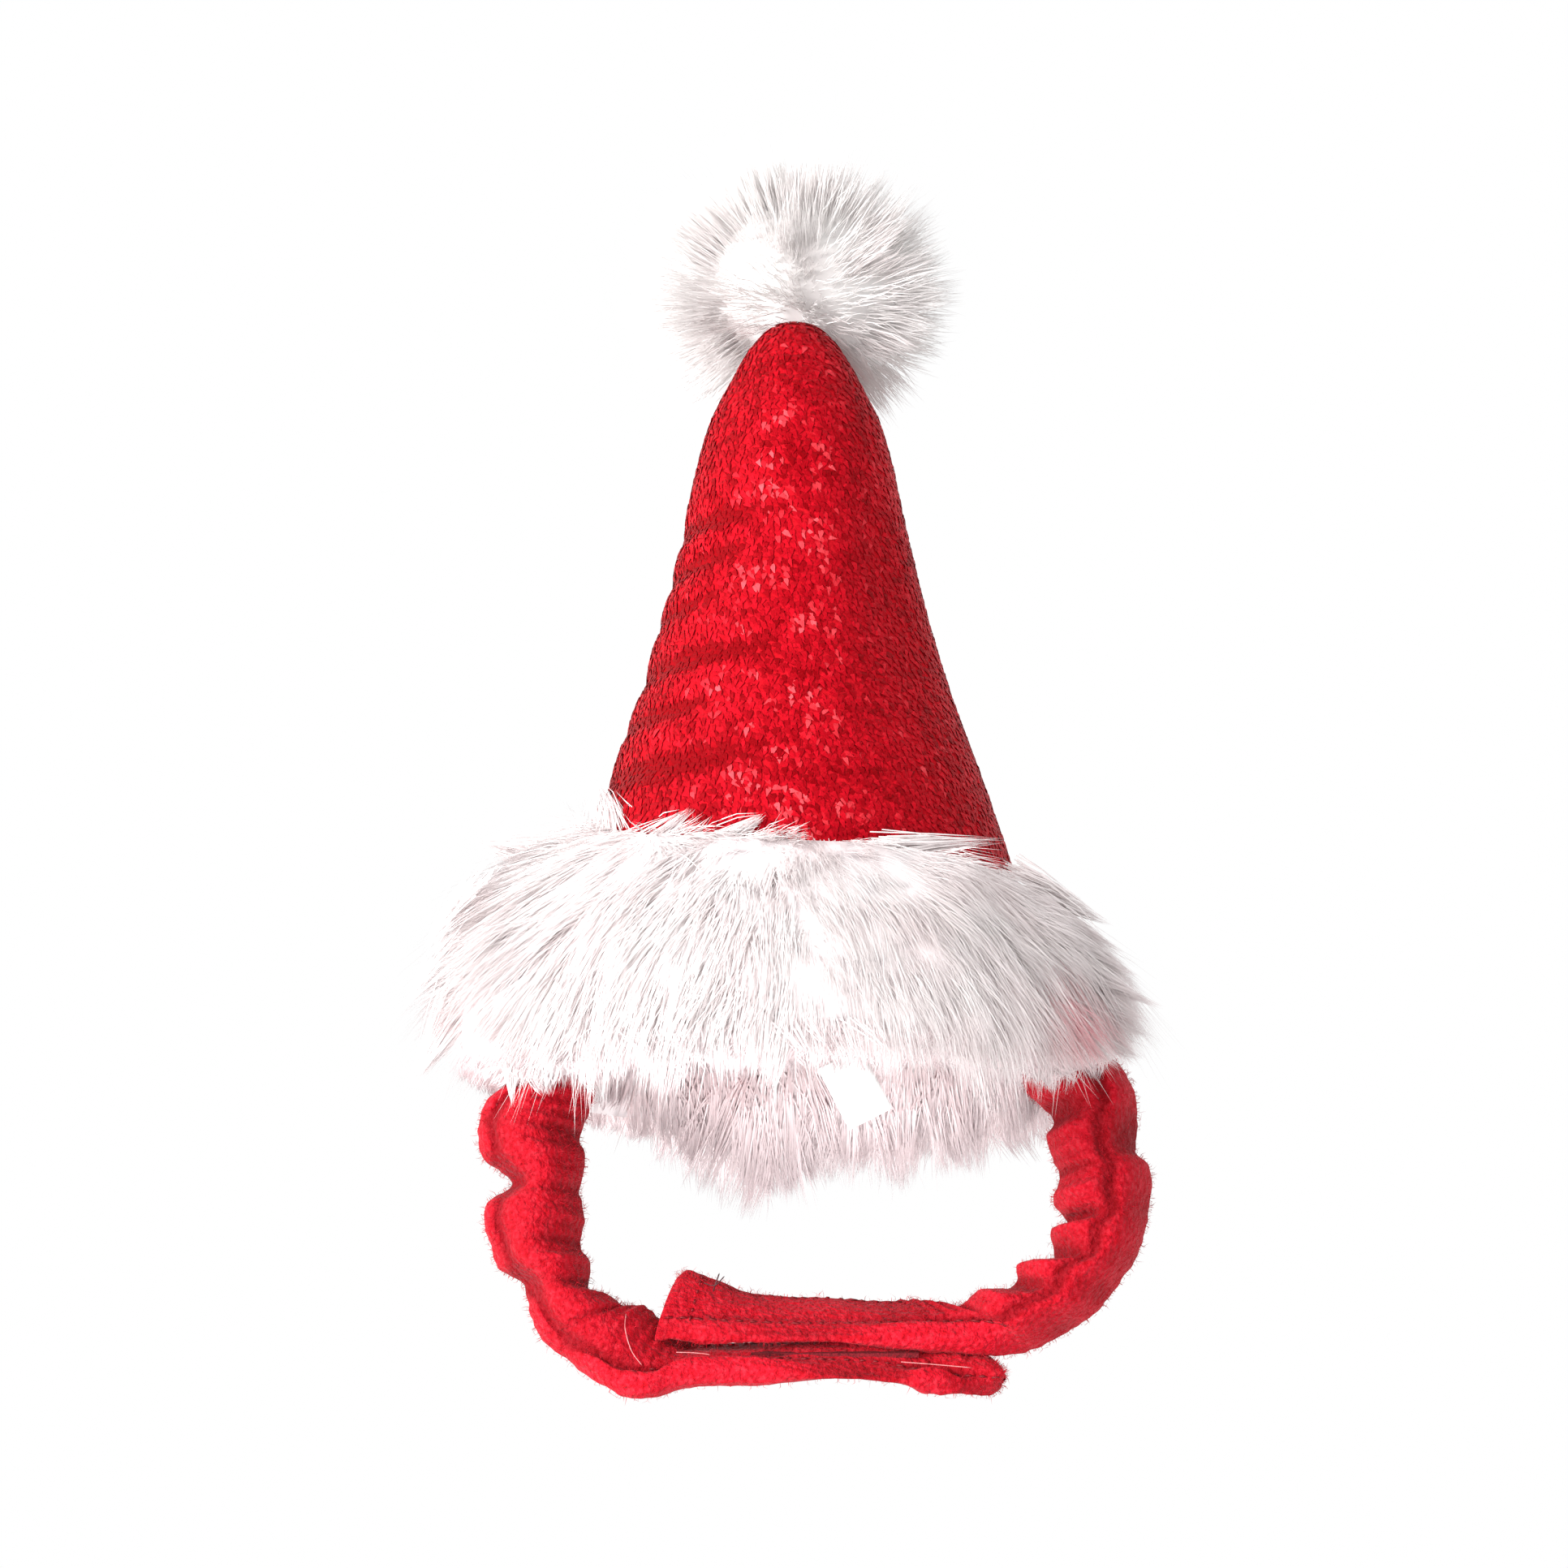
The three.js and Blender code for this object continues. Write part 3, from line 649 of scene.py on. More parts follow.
class BrimForm:
    """The fur brim's outer form by turn and rise (0 at the rim, 1 at its top)."""

    rises, turns = 24, 72
    levels = np.arange(20, 62) * MM      # heights at which its upper edge is looked for
    ray_gap = 0.8 * MM                   # rays start this far off the cone
    least_depth = 1 * MM
    top_gap = 1.5 * MM                   # the rise ends this far below the upper edge

    def __init__(self):
        self.tree = node_tree("brim_fur")
        turn = round_angles(self.turns)
        self.top = np.array([self.highest(t) for t in turn])
        rise, around = np.meshgrid(np.linspace(0, 1, self.rises), turn, indexing="ij")
        depth = self.fur_over(*self.stand(rise.ravel(), around.ravel()))
        self.depth = np.where(np.isnan(depth), self.least_depth, depth).reshape(rise.shape)

    def fur_over(self, place, out):
        """Depth of the form over places on the cone, or nan where they are bare."""
        return cast(self.tree, place + out * self.ray_gap, out)

    def highest(self, turn):
        place, out = CONE.stand(self.levels, np.full(len(self.levels), turn))
        covered = ~np.isnan(self.fur_over(place, out))
        return self.levels[covered].max()

    def height(self, rise, turn):
        column = turn / FULL_TURN % 1 * self.turns
        top = np.interp(column, np.arange(self.turns + 1), np.append(self.top, self.top[0]))
        return rise * (top - self.top_gap)

    def stand(self, rise, turn):
        return CONE.stand(self.height(rise, turn), turn)


CONE = ConeSurface()
BRIM = BrimForm()
POMPOM_MIDDLE, POMPOM_HALF = box_middle("pompom")
LABEL_ACROSS = box_middle("label")[0][0]


# Tapered closed tubes, many to a mesh
def tubes(paths, radii, sides, roll, facing, flatness):
    """Vertices and faces of flattened tapered tubes, each with a broad side turned to its facing.

    paths is (count, rings + 1, 3), the last point of each a tip.
    """
    count, rings = paths.shape[0], paths.shape[1] - 1
    chord = unit(paths[:, -1] - paths[:, 0])
    side = unit(np.cross(facing, chord))
    other = np.cross(chord, side)
    angle = math.pi / 2 + roll[:, None] + (np.arange(sides) + 0.5) * FULL_TURN / sides
    high = flatness * np.sin(angle)[..., None] * other[:, None]
    ring = np.cos(angle)[..., None] * side[:, None] + high
    body = paths[:, :rings, None] + ring[:, None] * radii[:, :, None, None]
    vertices = np.concatenate([body.reshape(count, -1, 3), paths[:, -1:]], 1)
    per = rings * sides + 1
    left = np.arange(sides)
    right = (left + 1) % sides
    quad = np.stack([left, right, right + sides, left + sides], -1)
    quads = [quad + row * sides for row in range(rings - 1)]
    last = (rings - 1) * sides
    tips = np.stack([last + left, last + right, np.full(sides, per - 1)], -1)
    start = (np.arange(count) * per)[:, None, None]
    faces = [(np.concatenate(quads)[None] + start).reshape(-1, 4),
             (tips[None] + start).reshape(-1, 3),
             (left[::-1][None, None] + start).reshape(-1, sides)]
    return vertices.reshape(-1, 3), faces


def strand_piece(name, paths, radii, material, seed, facing, red_seen_and_reflected=None):
    """One mesh of tapered strands that stores each vertex's share along its strand."""
    random = np.random.default_rng(seed)
    roll = random.normal(0, STRAND_ROLL, len(paths))
    vertices, faces = tubes(paths, radii, STRAND_SIDES, roll, facing, STRAND_FLATNESS)
    piece = new_mesh(name, vertices, faces, material, smooth=False)
    along = np.append(np.repeat(STRAND_SHARES[:-1], STRAND_SIDES), STRAND_SHARES[-1])
    number(piece, "along", np.tile(along, len(paths)))
    if red_seen_and_reflected is not None:
        number(piece, "red_seen_and_reflected", np.repeat(red_seen_and_reflected, len(along)))
    return piece


# Crown
def make_crown_cloth():
    """The backing cloth: a thin closed shell, open at the head."""
    rows = np.append(np.arange(0, CONE.rows - 1, 2), CONE.rows - 1)
    points, facing = CONE.points[rows, ::2], CONE.facing[rows, ::2]
    outer = points - facing * CLOTH_DEPTH
    inner = points - facing * (CLOTH_DEPTH + CLOTH_THICK)
    # how far into a fold each point lies, for the painted shade
    folded = np.clip(CONE.groove[rows, ::2] / FOLD_FULL, 0, 1)
    piece = closed_mesh("crown_cloth", np.concatenate([inner[::-1], outer]), RED_BACKING)
    number(piece, "folded", np.concatenate([folded[::-1].ravel(), folded.ravel(), [0, 0]]))
    return piece


def pile_places(random):
    """Meridian share and turn of every tuft, in rows up the cone."""
    grid_shares = np.linspace(0, 1, CONE.rows)
    first = np.interp(CONE.share_of_height(PILE_FROM), grid_shares, CONE.length)
    shares, turns = [], []
    for row, run in enumerate(np.arange(first, CONE.length[-1] - PILE_TO_TIP, PILE_ROW)):
        share = np.interp(run, CONE.length, grid_shares)
        ring = between(CONE.points, np.full(CONE.turns, share), round_angles(CONE.turns))
        girth = np.linalg.norm(np.diff(ring, axis=0, append=ring[:1]), axis=1).sum()
        count = max(PILE_STEP, PILE_STEP * round(girth / PILE_COLUMN / PILE_STEP))
        column = np.arange(count) + PILE_SLANT * row + random.normal(0, 0.25, count)
        turns.append(column * FULL_TURN / count)
        shares.append(share + random.normal(0, 0.0018, count))
    return np.concatenate(shares), np.concatenate(turns)


def pile_tone_and_painted_light(place, out, folded, random):
    """Tone of each tuft from dark red (0) to pale (1): its own red varies at random, with painted shade in
    the folds, painted highlights flecked where it faces the key light's front, and painted light on the
    right side.
    """
    patch = 0.14 * smooth_noise(place, 9 * MM, 4)
    # painted highlight: pale flecks on tufts that face the key light's front
    facing = smoothstep(0.80, 1.0, out @ unit(KEY_PLACE * np.array([0.1, 1, 0])))
    bright = np.clip(random.uniform(-0.45, 0.85, len(place)), 0, 1)
    painted_highlight = bright * facing * smoothstep(-0.35, 0.25, smooth_noise(place, 6 * MM, 8))
    # painted light: the right side, turned away from the key, is painted paler
    right = 0.22 * np.clip(out[:, 0], 0, 1)
    # painted shade: darker in the folds
    tone_and_painted_light = random.normal(0.17, 0.13, len(place)) + patch + painted_highlight + right - 0.60 * folded
    return np.clip(tone_and_painted_light, 0, 1)


def make_crown_pile():
    """Short flat tufts that lie down the cone and overlap like scales."""
    random = np.random.default_rng(11)
    share, turn = pile_places(random)
    count = len(share)
    place = between(CONE.points, share, turn)
    out = unit(between(CONE.facing, share, turn))
    below = between(CONE.points, share - 0.01, turn) - place
    down = unit(below - out * np.sum(below * out, -1, keepdims=True))
    yaw = random.normal(0.35, 0.40, count)[:, None]
    lie = unit(down * np.cos(yaw) + np.cross(out, down) * np.sin(yaw))
    size = random.uniform(0.8, 1.2, count)[:, None] * MM
    root = place - out * CLOTH_DEPTH * 1.05
    folded = np.clip(between(CONE.groove, share, turn) / FOLD_FULL, -0.12, 1)
    lift = (random.uniform(0.7, 1.25, count) * (1 - 0.15 * np.maximum(folded, 0)))[:, None]
    paths = np.stack([root + size * (out * high * lift + lie * low) for high, low in TUFT_POINTS], 1)
    roll = random.normal(0, STRAND_ROLL, count)
    vertices, faces = tubes(paths, size * TUFT_RADII, STRAND_SIDES, roll, out, TUFT_FLATNESS)
    piece = new_mesh("crown_pile", vertices, faces, RED_PLUSH, smooth=False)
    shades = np.repeat(TUFT_SHADES, [STRAND_SIDES, STRAND_SIDES, 1])
    number(piece, "along", np.tile(shades, count))
    # each tuft's tone, with its painted light and shade
    number(piece, "tone_and_painted_light", np.repeat(pile_tone_and_painted_light(place, out, folded, random), len(shades)))
    return piece


# Fur
def strand_paths(roots, tips, bow, gathers, seed):
    """Curved strands from roots to tips, bowed out and drawn together into pointed locks.

    gathers holds a pair for each size of lock: strands to a lock, and how far they are drawn in.
    """
    random = np.random.default_rng(seed)
    count = len(roots)
    share = STRAND_SHARES[None, :, None]
    middle = (roots + bow)[:, None]
    paths = (1 - share) ** 2 * roots[:, None] + 2 * share * (1 - share) * middle
    paths += share ** 2 * tips[:, None]
    loose = random.uniform(0, 1, count) < LOOSE_SHARE
    for strands, drawn in gathers:
        leaders = random.choice(count, count // strands, replace=False)
        search = kdtree.KDTree(len(leaders))
        for k, leader in enumerate(leaders):
            search.insert(Vector(paths[leader, -1]), k)
        search.balance()
        owner = leaders[[search.find(Vector(p))[1] for p in paths[:, -1]]]
        pull = np.where(loose, LOOSE_PULL, drawn * random.uniform(0.55, 1.0, count))
        pull = pull[:, None, None] * share ** 1.3
        paths = paths * (1 - pull) + paths[owner] * pull
    phase = random.uniform(0, FULL_TURN, (count, 1, 3))
    paths += STRAND_WAVE * share * np.sin(phase + share * random.uniform(3, 7, (count, 1, 1)))
    return paths


def strand_radii(kind, count, seed):
    random = np.random.default_rng(seed)
    return STRAND_RADIUS[kind] * random.uniform(0.7, 1.2, (count, 1)) * STRAND_TAPER[None, :]


def underfur_depth(rise, turn):
    """Depth of the dense underfur: less at the sides, and less at the upper edge except in front."""
    share = np.clip((1.01 - rise) / BRIM_SLOPE, 0, 1) ** 0.6
    front = smoothstep(0.35, 0.75, -np.sin(turn))
    taper = share + (1 - share) * 0.85 * front
    side = smoothstep(0.5, 0.9, np.abs(np.cos(turn)))
    return between(BRIM.depth, rise, turn) * (UNDERFUR - 0.2 * side) * taper


def brim_combing(turn, rise, place, out, random, seed):
    """The way each strand of the brim's outside lies: it hangs in front, and spreads at the sides.

    lift is its angle above the level and lean its angle to the side, in degrees until the last step.
    """
    side, front = np.cos(turn), np.clip(-np.sin(turn), 0, 1)
    facing = smoothstep(0.25, 0.9, front)
    right = smoothstep(0.1, 0.9, side)
    tuft = smoothstep(0.80, 1.0, rise) * smoothstep(0.05, 0.3, smooth_noise(place, 9 * MM, seed + 5))
    spread = -60 + (60 - 42 * right) * rise ** 0.8
    hanging = -74 + 52 * rise ** 1.5
    lift = spread + (hanging - spread) * facing + 38 * tuft
    lift += (26 + 20 * (1 - facing)) * smooth_noise(place, 10 * MM, seed)
    lift += 18 * smooth_noise(place, 5 * MM, seed + 3)
    lift += random.normal(0, 9, len(turn))
    fan = 75 * front * side
    lean = fan + (65 - fan) * tuft * facing
    lean += 38 * smooth_noise(place, 10 * MM, seed + 1) + 24 * smooth_noise(place, 4 * MM, seed + 4)
    lean += random.normal(0, 11, len(turn))
    lift, lean = np.radians(lift)[:, None], np.radians(lean)[:, None]
    level = out * np.cos(lean) + np.cross(UP, out) * np.sin(lean)
    return unit(level * np.cos(lift) + UP * np.sin(lift))


def fringe_bottom(turn):
    """Height that the fur inside the rim hangs down to."""
    return np.interp(np.degrees(turn) % 360, *np.array(FRINGE).T) * MM


def brim_bottom(turn):
    """Height that the strands of the brim's outside hang down to: higher over the straps."""
    front, back = smoothstep(0.2, 0.8, -np.sin(turn)), smoothstep(0.2, 0.8, np.sin(turn))
    strap = np.cos(turn) ** 6
    return (11 * strap - 10.5 * front) * MM + back * (fringe_bottom(turn) + 2.5 * MM)


def brim_reach(turn, rise, place, start, way, random, seed):
    """Length of each strand of the brim's outside: about to the outer form, with tufts and wisps.

    The front's lower edge is the most uneven, and it leaves the label clear.
    """
    count = len(turn)
    reach = cast(BRIM.tree, start, way)
    reach = np.where(np.isnan(reach), MISSED_REACH, reach)
    tuft = 1 + 0.30 * smooth_noise(place, 7 * MM, seed + 7)
    wisp = np.where(random.uniform(0, 1, count) < 0.14, 1.5, 1.0)
    reach = np.clip(reach, *BRIM_REACH) * tuft * wisp * random.uniform(0.76, 1.1, count)
    rim = place * LEVEL
    hanging = smooth_noise(rim, 8 * MM, seed + 6)
    front_edge = smoothstep(0.55, 0.35, rise) * smoothstep(0.1, 0.6, -np.sin(turn))
    reach *= 1 + np.where(hanging > 0, 1.0, 0.3) * hanging * front_edge
    uneven = 20 * smooth_noise(rim, 12 * MM, seed + 8) + 10 * smooth_noise(rim, 5 * MM, seed + 9)
    label = np.exp(-((place[:, 0] - LABEL_ACROSS) / (9 * MM)) ** 2)
    clear = 1 - 0.8 * label
    veil = random.uniform(0, 1, count) < 0.35 * clear * front_edge
    reach *= np.where(veil, random.uniform(1.2, 2.0, count), 1.0)
    stray = 13 * random.uniform(0, 1, count) ** 3 * clear + 3 * label
    bottom = brim_bottom(turn) + (uneven - stray + random.normal(0, 1.8, count)) * MM
    room = (start[:, 2] - bottom) / np.maximum(-way[:, 2], 0.15)
    return np.minimum(reach, np.maximum(room, 4 * MM))


def strap_blush(turn, rise, middle, random):
    """Red of the straps showing in the fur beside them, on some strands."""
    away = np.degrees(np.arccos(np.abs(np.cos(turn))))
    near = np.exp(-(away / 24) ** 2) * smoothstep(0.5, 0.1, rise)
    up = middle[:, 2] * math.cos(CAMERA_RISE) - middle[:, 1] * math.sin(CAMERA_RISE)
    far = np.hypot(middle[:, 0] - RED_GAP[0] * MM, up - RED_GAP[1] * MM) / (RED_GAP[2] * MM)
    gap = 2 * np.exp(-far ** 2) * (middle[:, 1] < 0)
    beside = near * random.uniform(0, 1, len(turn)) ** 1.5 * 0.8
    return np.clip(beside + gap * random.uniform(0, 1, len(turn)), 0, 1)


def make_brim_outside(name, first_turn, seed):
    """Long strands over the half of the brim's outside that starts at a turn."""
    random = np.random.default_rng(seed)
    count = BRIM_STRANDS
    turn = random.uniform(first_turn, first_turn + math.pi, count)
    bare = 0.2 * np.cos(turn) ** 6
    upper = 1 - 0.25 * smoothstep(0.5, -0.1, -np.sin(turn))
    rise = bare + (1 - bare) * random.uniform(0, 1, count) ** upper
    place, out = BRIM.stand(rise, turn)
    way = brim_combing(turn, rise, place, out, random, seed)
    start = place + out * (underfur_depth(rise, turn) - ROOT_DEPTH)[:, None]
    reach = brim_reach(turn, rise, place, start, way, random, seed)[:, None]
    tips = start + way * reach
    tips[:, 2] -= 1.5 * MM * random.uniform(0, 1, count)
    bow = out * reach * 0.07 + way * reach * 0.4
    paths = strand_paths(start, tips, bow, BRIM_LOCKS, seed + 2)
    red_seen_and_reflected = strap_blush(turn, rise, paths[:, 1], random)
    right = smoothstep(0.1, 0.9, np.cos(turn))[:, None]
    facing = out + 0.5 * UP + 0.8 * right * FRONT
    return strand_piece(name, paths, strand_radii("brim", count, seed), WHITE_FUR, seed, facing, red_seen_and_reflected)


def make_brim_locks(seed):
    """The single locks that the photograph shows at the brim's edges."""
    random = np.random.default_rng(seed)
    table = columns(LOCK_COLUMNS, LOCKS)
    strands = np.round(LOCK_STRANDS * table["wide"]).astype(int)
    lock = {name: np.repeat(values, strands) for name, values in table.items()}
    count = len(lock["wide"])
    loose = random.normal(0, 1, (count, 3)) * lock["wide"][:, None]
    roots = picture_point(lock["root_x"], lock["root_up"], lock["root_back"]) + loose
    ends = picture_point(lock["tip_x"], lock["tip_up"], lock["tip_back"]) + loose * 0.15
    tips = roots + (ends - roots) * random.uniform(0.7, 1.08, (count, 1))
    bow = (tips - roots) * 0.5 + FRONT * 1.5 + random.normal(0, 0.6, (count, 3))
    paths = strand_paths(roots * MM, tips * MM, bow * MM, [], seed + 2)
    facing = np.tile(FRONT + 0.3 * UP, (count, 1))
    return strand_piece("brim_locks", paths, strand_radii("lock", count, seed), WHITE_FUR, seed, facing)


def make_brim_inside(seed):
    """Fur rolled under the rim and up its inside, hanging down, longest at the back.

    Some strands start on the ledge under the rim, between the lining and the outer underfur.
    """
    random = np.random.default_rng(seed)
    count = FRINGE_STRANDS
    turn = (math.pi / 2 + math.pi * signed_power(random.uniform(-1, 1, count), 1.3)) % FULL_TURN
    ledge = random.uniform(0, 1, count) < 0.4
    height = np.where(ledge, 0, random.uniform(0, LINING_TOP, count)) * MM
    share = CONE.share_of_height(height)
    out = unit(unit(between(CONE.facing, share, turn)) * LEVEL)
    lining = CLOTH_DEPTH + CLOTH_THICK + 0.2 * MM
    edge_rise = np.full(count, CORE_FROM)
    share_out = random.uniform(0, 1, count)
    off = np.where(ledge, share_out * (underfur_depth(edge_rise, turn) + lining) - lining, -lining)
    drop = np.where(ledge, share_out * BRIM.height(edge_rise, turn) - 1 * MM, 0)
    place = between(CONE.points, share, turn) + out * off[:, None] + UP * drop[:, None]
    tuft = 1 + 0.5 * smooth_noise(place * LEVEL, 8 * MM, seed + 7)
    hang = (place[:, 2] - fringe_bottom(turn)) * tuft
    long = np.clip(hang, *FRINGE_REACH) * random.uniform(0.65, 1.12, count)
    outward = np.where(ledge, off / (14 * MM), -0.18) + 0.25 * smooth_noise(place, 12 * MM, seed)
    sideways = 0.9 * smooth_noise(place, 9 * MM, seed + 1) + random.normal(0, 0.18, count)
    way = unit(-UP + out * outward[:, None] + np.cross(UP, out) * sideways[:, None])
    tips = place + way * long[:, None]
    bow = way * long[:, None] * 0.45 - out * np.where(ledge, 0, 0.15 * long)[:, None]
    paths = strand_paths(place, tips, bow, FRINGE_LOCKS, seed + 2)
    facing = np.where(ledge[:, None], out, -out) - 0.3 * UP
    radii = strand_radii("fringe", count, seed)
    # painted reflection of the red parts' light on the fur inside the rim
    red_seen_and_reflected = np.full(count, FRINGE_REFLECTED_RED)
    return strand_piece("brim_fur_under", paths, radii, UNDERFUR_PAINTED_LIGHT, seed, facing, red_seen_and_reflected)


def make_brim_core():
    """Dense underfur on both sides of the cloth, so that none of it shows between the strands."""
    turn = round_angles(144)
    level = np.ones(len(turn))
    lining = -(CLOTH_DEPTH + CLOTH_THICK)

    def ring(height, off, lumpy):
        place, out = CONE.stand(height, turn)
        if lumpy:
            off = off + 0.6 * MM * smooth_noise(place + out * 0.01, 5 * MM, 3)
        return place + out * off[:, None]

    rings = []
    for rise in np.linspace(CORE_FROM, 0.98, 21):
        height = BRIM.height(rise * level, turn) - 1.2 * MM * (1 - rise)
        rings.append(ring(height, underfur_depth(rise * level, turn), True))
    for rise in np.linspace(0.95, 0, 7):
        rings.append(ring(BRIM.height(rise * level, turn), CORE_OFF_CLOTH * level, False))
    for height in np.linspace(0, LINING_TOP, 5):
        rings.append(ring(height * MM * level, (lining - CORE_OFF_CLOTH) * level, False))
    for height in np.linspace(LINING_TOP + 0.5, -1, 7):
        bulge = 0.3 + 1.8 * math.sin(math.pi * (LINING_TOP + 1 - height) / 26)
        rings.append(ring(height * MM * level, (lining - bulge * MM) * level, True))
    vertices = np.concatenate(rings)
    piece = new_mesh("brim_underfur", vertices, [grid_faces(len(rings), len(turn), joined=True)], UNDERFUR_PAINTED_LIGHT)
    # mottled between the material's painted-bright roots and painted-dark tips
    number(piece, "along", np.clip(0.55 + 0.7 * smooth_noise(vertices, 4 * MM, 9), 0, 1))
    return piece


def make_pompom_core():
    """Dense fur inside the pompom: a lumpy ball, flatter behind and above."""
    rows, turns = 40, 72
    ways = ways_round(np.radians(np.linspace(-89.5, 89.5, rows)), turns)
    lump = 0.06 * smooth_noise(ways.reshape(-1, 3) * 0.02, 7 * MM, 5).reshape(rows, turns)
    behind, above = np.clip(ways[..., 1], 0, 1), np.clip(ways[..., 2], 0, 1)
    size = POMPOM_CORE * (1 + lump - 0.20 * behind - 0.12 * above)
    rings = POMPOM_MIDDLE + POMPOM_CORE_SHIFT + ways * POMPOM_HALF * size[..., None]
    piece = closed_mesh("pompom_core", rings, POMPOM_FUR)
    places = [v.co for v in piece.data.vertices]
    # mostly the tips' darker tone: painted shade that keeps the core from glaring in the key light
    number(piece, "along", np.clip(1.0 + 0.5 * smooth_noise(places, 2 * MM, 6), 0, 1))
    return piece


def make_pompom_fur(seed):
    """Strands that spread from the pompom's knot to its outer form, looser in front, above and behind."""
    random = np.random.default_rng(seed)
    count = POMPOM_STRANDS
    ways = unit(random.normal(0, 1, (count, 3)))
    tips = POMPOM_MIDDLE + POMPOM_LEAN + ways * POMPOM_HALF * random.uniform(*POMPOM_TIPS, (count, 1))
    swirl = np.stack([smooth_noise(tips, 14 * MM, seed + k) for k in (2, 3, 4)], -1)
    tips += np.cross(ways, swirl) * POMPOM_SWIRL
    front = smoothstep(0.3, 0.9, -ways[:, 1])[:, None]
    spread = unit((tips - POMPOM_KNOT) * np.array([1, 0, 1]))
    tips += front * (spread * random.uniform(-4, 8, (count, 1)) - FRONT * 2) * MM
    above = smoothstep(0.4, 0.9, ways[:, 2])[:, None]
    tips += above * random.normal(0, 4.5, (count, 3)) * np.array([1, 1, 0.3]) * MM
    behind = smoothstep(0.1, 0.8, ways[:, 1])[:, None]
    tips += behind * (random.normal(0, 5, (count, 3)) - 7 * UP) * MM
    knot = POMPOM_KNOT * 0.35 + POMPOM_MIDDLE * 0.65
    roots = knot + (tips - knot) * random.uniform(*POMPOM_ROOTS, (count, 1))
    bend = random.normal(0, 1, (count, 3)) * 1.8 * MM
    out = unit(tips - POMPOM_MIDDLE)
    bow = (tips - roots) * 0.5 + bend + out * 0.8 * MM
    paths = strand_paths(roots, tips, bow, POMPOM_LOCKS, seed + 1)
    facing = out * 0.4 + unit(KEY_PLACE)
    return strand_piece("pompom_fur", paths, strand_radii("pompom", count, seed), POMPOM_FUR, seed, facing)


# Straps and tabs
def smooth_rows(rows, steps):
    """A curve through every row of a table, as more rows."""
    padded = np.concatenate([2 * rows[:1] - rows[1:2], rows, 2 * rows[-1:] - rows[-2:-1]])
    share = np.arange(steps)[:, None, None] / steps
    before, first, second, after = (padded[k:len(padded) - 3 + k][None] for k in range(4))
    square = 2 * before - 5 * first + 4 * second - after
    cube = 3 * (first - second) + after - before
    curve = first + 0.5 * share * (second - before + share * (square + share * cube))
    return np.concatenate([curve.transpose(1, 0, 2).reshape(-1, rows.shape[1]), rows[-1:]])


def blur(values, reach):
    """Rows of values averaged over a few neighbours to each side."""
    weights = np.exp(-np.linspace(-2, 2, 2 * reach + 1) ** 2)
    padded = np.pad(values, ((reach, reach), (0, 0)), mode="edge")
    return np.stack([np.convolve(c, weights / weights.sum(), "valid") for c in padded.T], -1)


